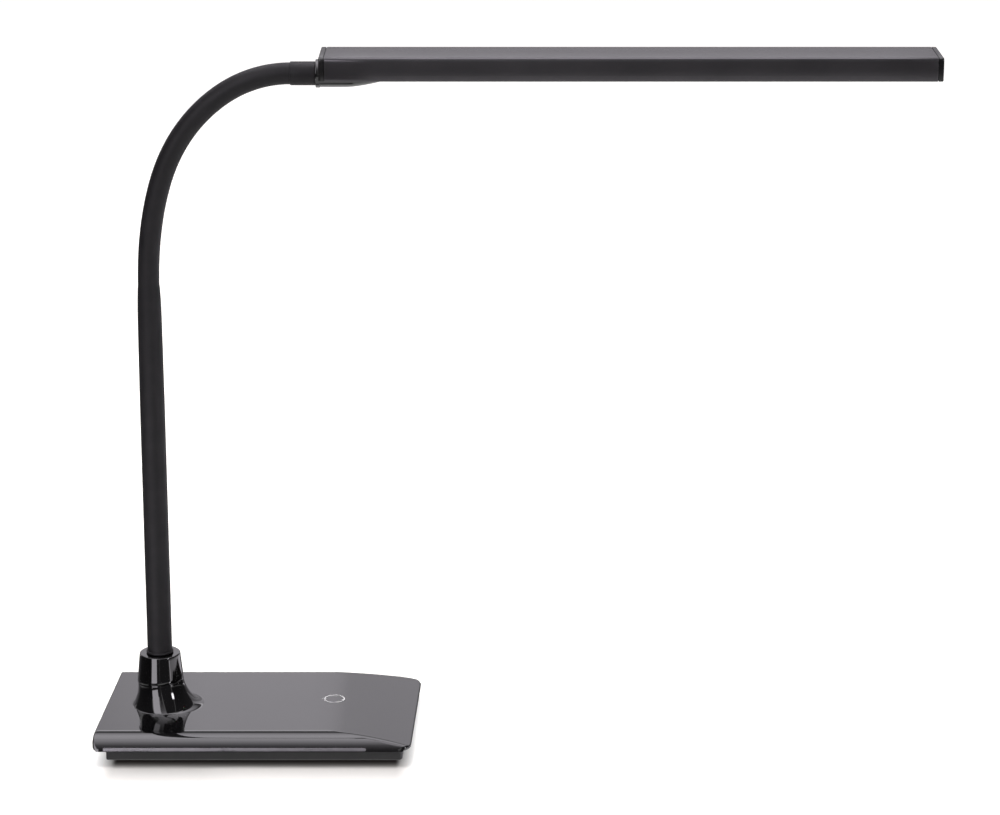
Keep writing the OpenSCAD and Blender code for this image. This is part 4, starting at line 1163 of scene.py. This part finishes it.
# Distance from the tray's outline, which sets where the contact shadow is painted.
beyond = on_vector(tree, "SUBTRACT", on_vector(tree, "ABSOLUTE", where), TRAY_HALF)
beyond = on_vector(tree, "MULTIPLY", on_vector(tree, "MAXIMUM", beyond), END_SQUEEZE)
away = on_vector(tree, "LENGTH", beyond)
sheet = mix_colours(tree, use_group(tree, clouding, Vector=where, Size=3.0),
                    (0.52, 0.49, 0.475, 1), (0.54, 0.51, 0.495, 1))
# Painted contact shadow: the floor's colour turns dark brown close to the tray.
painted_shadow_ramp = spread(tree, away, 0.0, 1.0, 0.001, 0.013)
colour = mix_colours(tree, painted_shadow_ramp, (0.075, 0.064, 0.06, 1), sheet)
# The floor's glow to white fades out near the tray, which deepens the painted contact shadow.
glow = calculate(tree, "MULTIPLY", seen_directly(tree), spread(tree, away, 0.0, 0.8, 0.005, 0.046))
for label, value in {"Roughness": 0.9, "Specular IOR Level": 0.0, "Emission Color": (1, 1, 1, 1),
                     "Base Color": colour, "Emission Strength": glow}.items():
    feed(tree, shader[label], value)
floor_mesh.materials.append(paper)
floor.visible_glossy = False
print("floor ready")

# %% Lamps for light and shadow
def area_lamp(name, size, radiance, place, target=(0, 0, 0.1)):
    """A rectangular softbox; its power follows from its size and how bright it looks."""
    data = bpy.data.lights.new(name, "AREA")
    data.shape, data.size, data.size_y = "RECTANGLE", *size
    data.energy = radiance * pi * size[0] * size[1]
    lamp = add_object(name, data)
    lamp.location = place
    lamp.rotation_euler = (Vector(target) - Vector(place)).to_track_quat("-Z", "Y").to_euler()
    lamp.visible_glossy = False
    print(name, "power", round(data.energy, 1), "W")


area_lamp("overhead_lamp", (0.7, 0.5), 24, (-0.15, 0.85, 1.6))
area_lamp("left_lamp", (0.9, 1.2), 0.8, (-1.6, -1.2, 1.1))

# %% Panels and cards that only reflections see
CARD_COLOUR = (1.0, 0.965, 1.03, 1)


def card_shader(name, low, high, soft_x, soft_y):
    """A glowing card whose brightness runs from low to high and whose edges fade."""
    material = bpy.data.materials.new(name)
    material.use_nodes = True
    tree = material.node_tree
    tree.nodes.clear()
    uv = node(tree, "ShaderNodeUVMap").outputs["UV"]
    on_card = node(tree, "ShaderNodeSeparateXYZ", {0: uv}).outputs
    mask = 1.0
    for axis, soft in (("X", soft_x), ("Y", soft_y)):
        centre = calculate(tree, "ABSOLUTE", calculate(tree, "SUBTRACT", on_card[axis], 0.5))
        mask = calculate(tree, "MULTIPLY", spread(tree, centre, 1.0, 0.0, 0.5 - soft, 0.5), mask)
    strength = spread(tree, on_card["Y"], low, high, 0.0, 1.0)
    glow = node(tree, "ShaderNodeEmission", {"Color": CARD_COLOUR, "Strength": strength})
    clear = node(tree, "ShaderNodeBsdfTransparent")
    mix = node(tree, "ShaderNodeMixShader", {"Fac": mask, 1: clear.outputs[0], 2: glow.outputs[0]})
    node(tree, "ShaderNodeOutputMaterial", {"Surface": mix.outputs[0]})
    return material


def card(name, azimuths, elevations, low, high, soft, far, top=None):
    """A curved card. Azimuth 0 is towards the front, 90 is to the right; its top edge may have
    other azimuths than its bottom edge."""
    columns, lines = 24, 12
    points, faces, uvs = [], [], []
    for j in range(lines + 1):
        up = j / lines
        left, right = (p + (q - p) * up for p, q in zip(azimuths, top or azimuths))
        e = radians(elevations[0] + (elevations[1] - elevations[0]) * up)
        for i in range(columns + 1):
            a = radians(left + (right - left) * i / columns)
            points.append((far * sin(a) * cos(e), -far * cos(a) * cos(e), 0.1 + far * sin(e)))
            uvs.append((i / columns, up))
            if i < columns and j < lines:
                k = len(points) - 1
                faces.append((k, k + 1, k + columns + 2, k + columns + 1))
    mesh = bpy.data.meshes.new(name)
    mesh.from_pydata(points, [], faces)
    layer = mesh.uv_layers.new(name="UVMap")
    for loop in mesh.loops:
        layer.data[loop.index].uv = uvs[loop.vertex_index]
    mesh.materials.append(card_shader(name, low, high, *soft))
    panel = add_object(name, mesh)
    for kind in ("camera", "diffuse", "transmission", "volume_scatter", "shadow"):
        setattr(panel, "visible_" + kind, False)


# Name, azimuths, elevations, low and high glow, soft edges, distance, azimuths of the top edge.
for row in (
    ("overhead_back", (90, 270), (60, 90), 3.0, 3.5, (0.05, 0.1), 12.0),
    ("overhead_front", (-90, 90), (74, 90), 2.5, 3.5, (0.05, 0.1), 11.9),
    ("front_rise", (-26, 8), (47, 78), 0.8, 2.8, (0.08, 0.08), 11.85, (-60, 40)),
    ("back_middle", (130, 240), (10, 22.8), 1.0, 1.0, (0.02, 0.02), 11.9),
    ("back_left_side", (185.6, 225), (12, 22.7), 0.79, 0.79, (0.06, 0.04), 11.82),
    ("back_right_side", (140, 183.3), (12, 22.7), 0.81, 0.81, (0.05, 0.04), 11.81),
    ("back_rise", (130, 230), (31, 63), 0.3, 3.0, (0.1, 0.06), 11.8),
    ("back_line", (140, 220), (22.8, 25.8), 1.7, 1.7, (0.1, 0.3), 11.7),
    ("back_dark_line", (140, 220), (25.6, 33), 0.1, 0.25, (0.1, 0.12), 11.6),
    ("back_low", (120, 240), (0, 17), 0.33, 0.42, (0.1, 0.15), 11.5),
    ("back_under", (110, 250), (-40, 2), 0.08, 0.15, (0.1, 0.05), 11.4),
    ("under_soft", (-180, 180), (-90, -64), 0.3, 0.3, (0.0, 0.04), 11.36),
    ("under_dark", (-180, 180), (-66, -19), 0.04, 0.06, (0.0, 0.04), 11.35),
    ("front_column", (-9, 1), (22, 50), 0.2, 0.85, (0.06, 0.06), 11.3, (-17, 4)),
    ("front_column_low", (-12, 1), (-19, 24), 0.1, 0.22, (0.06, 0.06), 11.25, (-10, 1)),
    ("front_left_softbox", (-41, -11), (7, 58), 4.2, 4.2, (0.06, 0.04), 11.2, (-47, -17)),
    ("front_left_low", (-60, -9), (-30, 10), 0.1, 0.1, (0.04, 0.08), 11.22),
    ("front_dark", (-1, 53), (-19, 67), 0.1, 0.1, (0.04, 0.06), 11.1, (8, 53)),
    ("left_dark", (-126, -40.5), (-25, 67), 0.03, 0.08, (0.04, 0.06), 11.0, (-126, -47)),
    ("right_line", (54, 60), (-20, -8), 3.0, 3.0, (0.2, 0.1), 10.9),
    ("right_panel", (60, 150), (-30, -9), 1.5, 1.5, (0.04, 0.1), 10.8),
    ("right_dark", (52, 140), (-10, 67), 0.04, 0.1, (0.04, 0.06), 10.75),
    ("spark", (46.5, 57.5), (6, 25), 22, 22, (0.25, 0.25), 10.7),
    ("front_left_softbox_low", (-47, -20.5), (-20, 3), 4.2, 4.2, (0.06, 0.05), 0.45),
):
    card(*row)
print("cards ready")
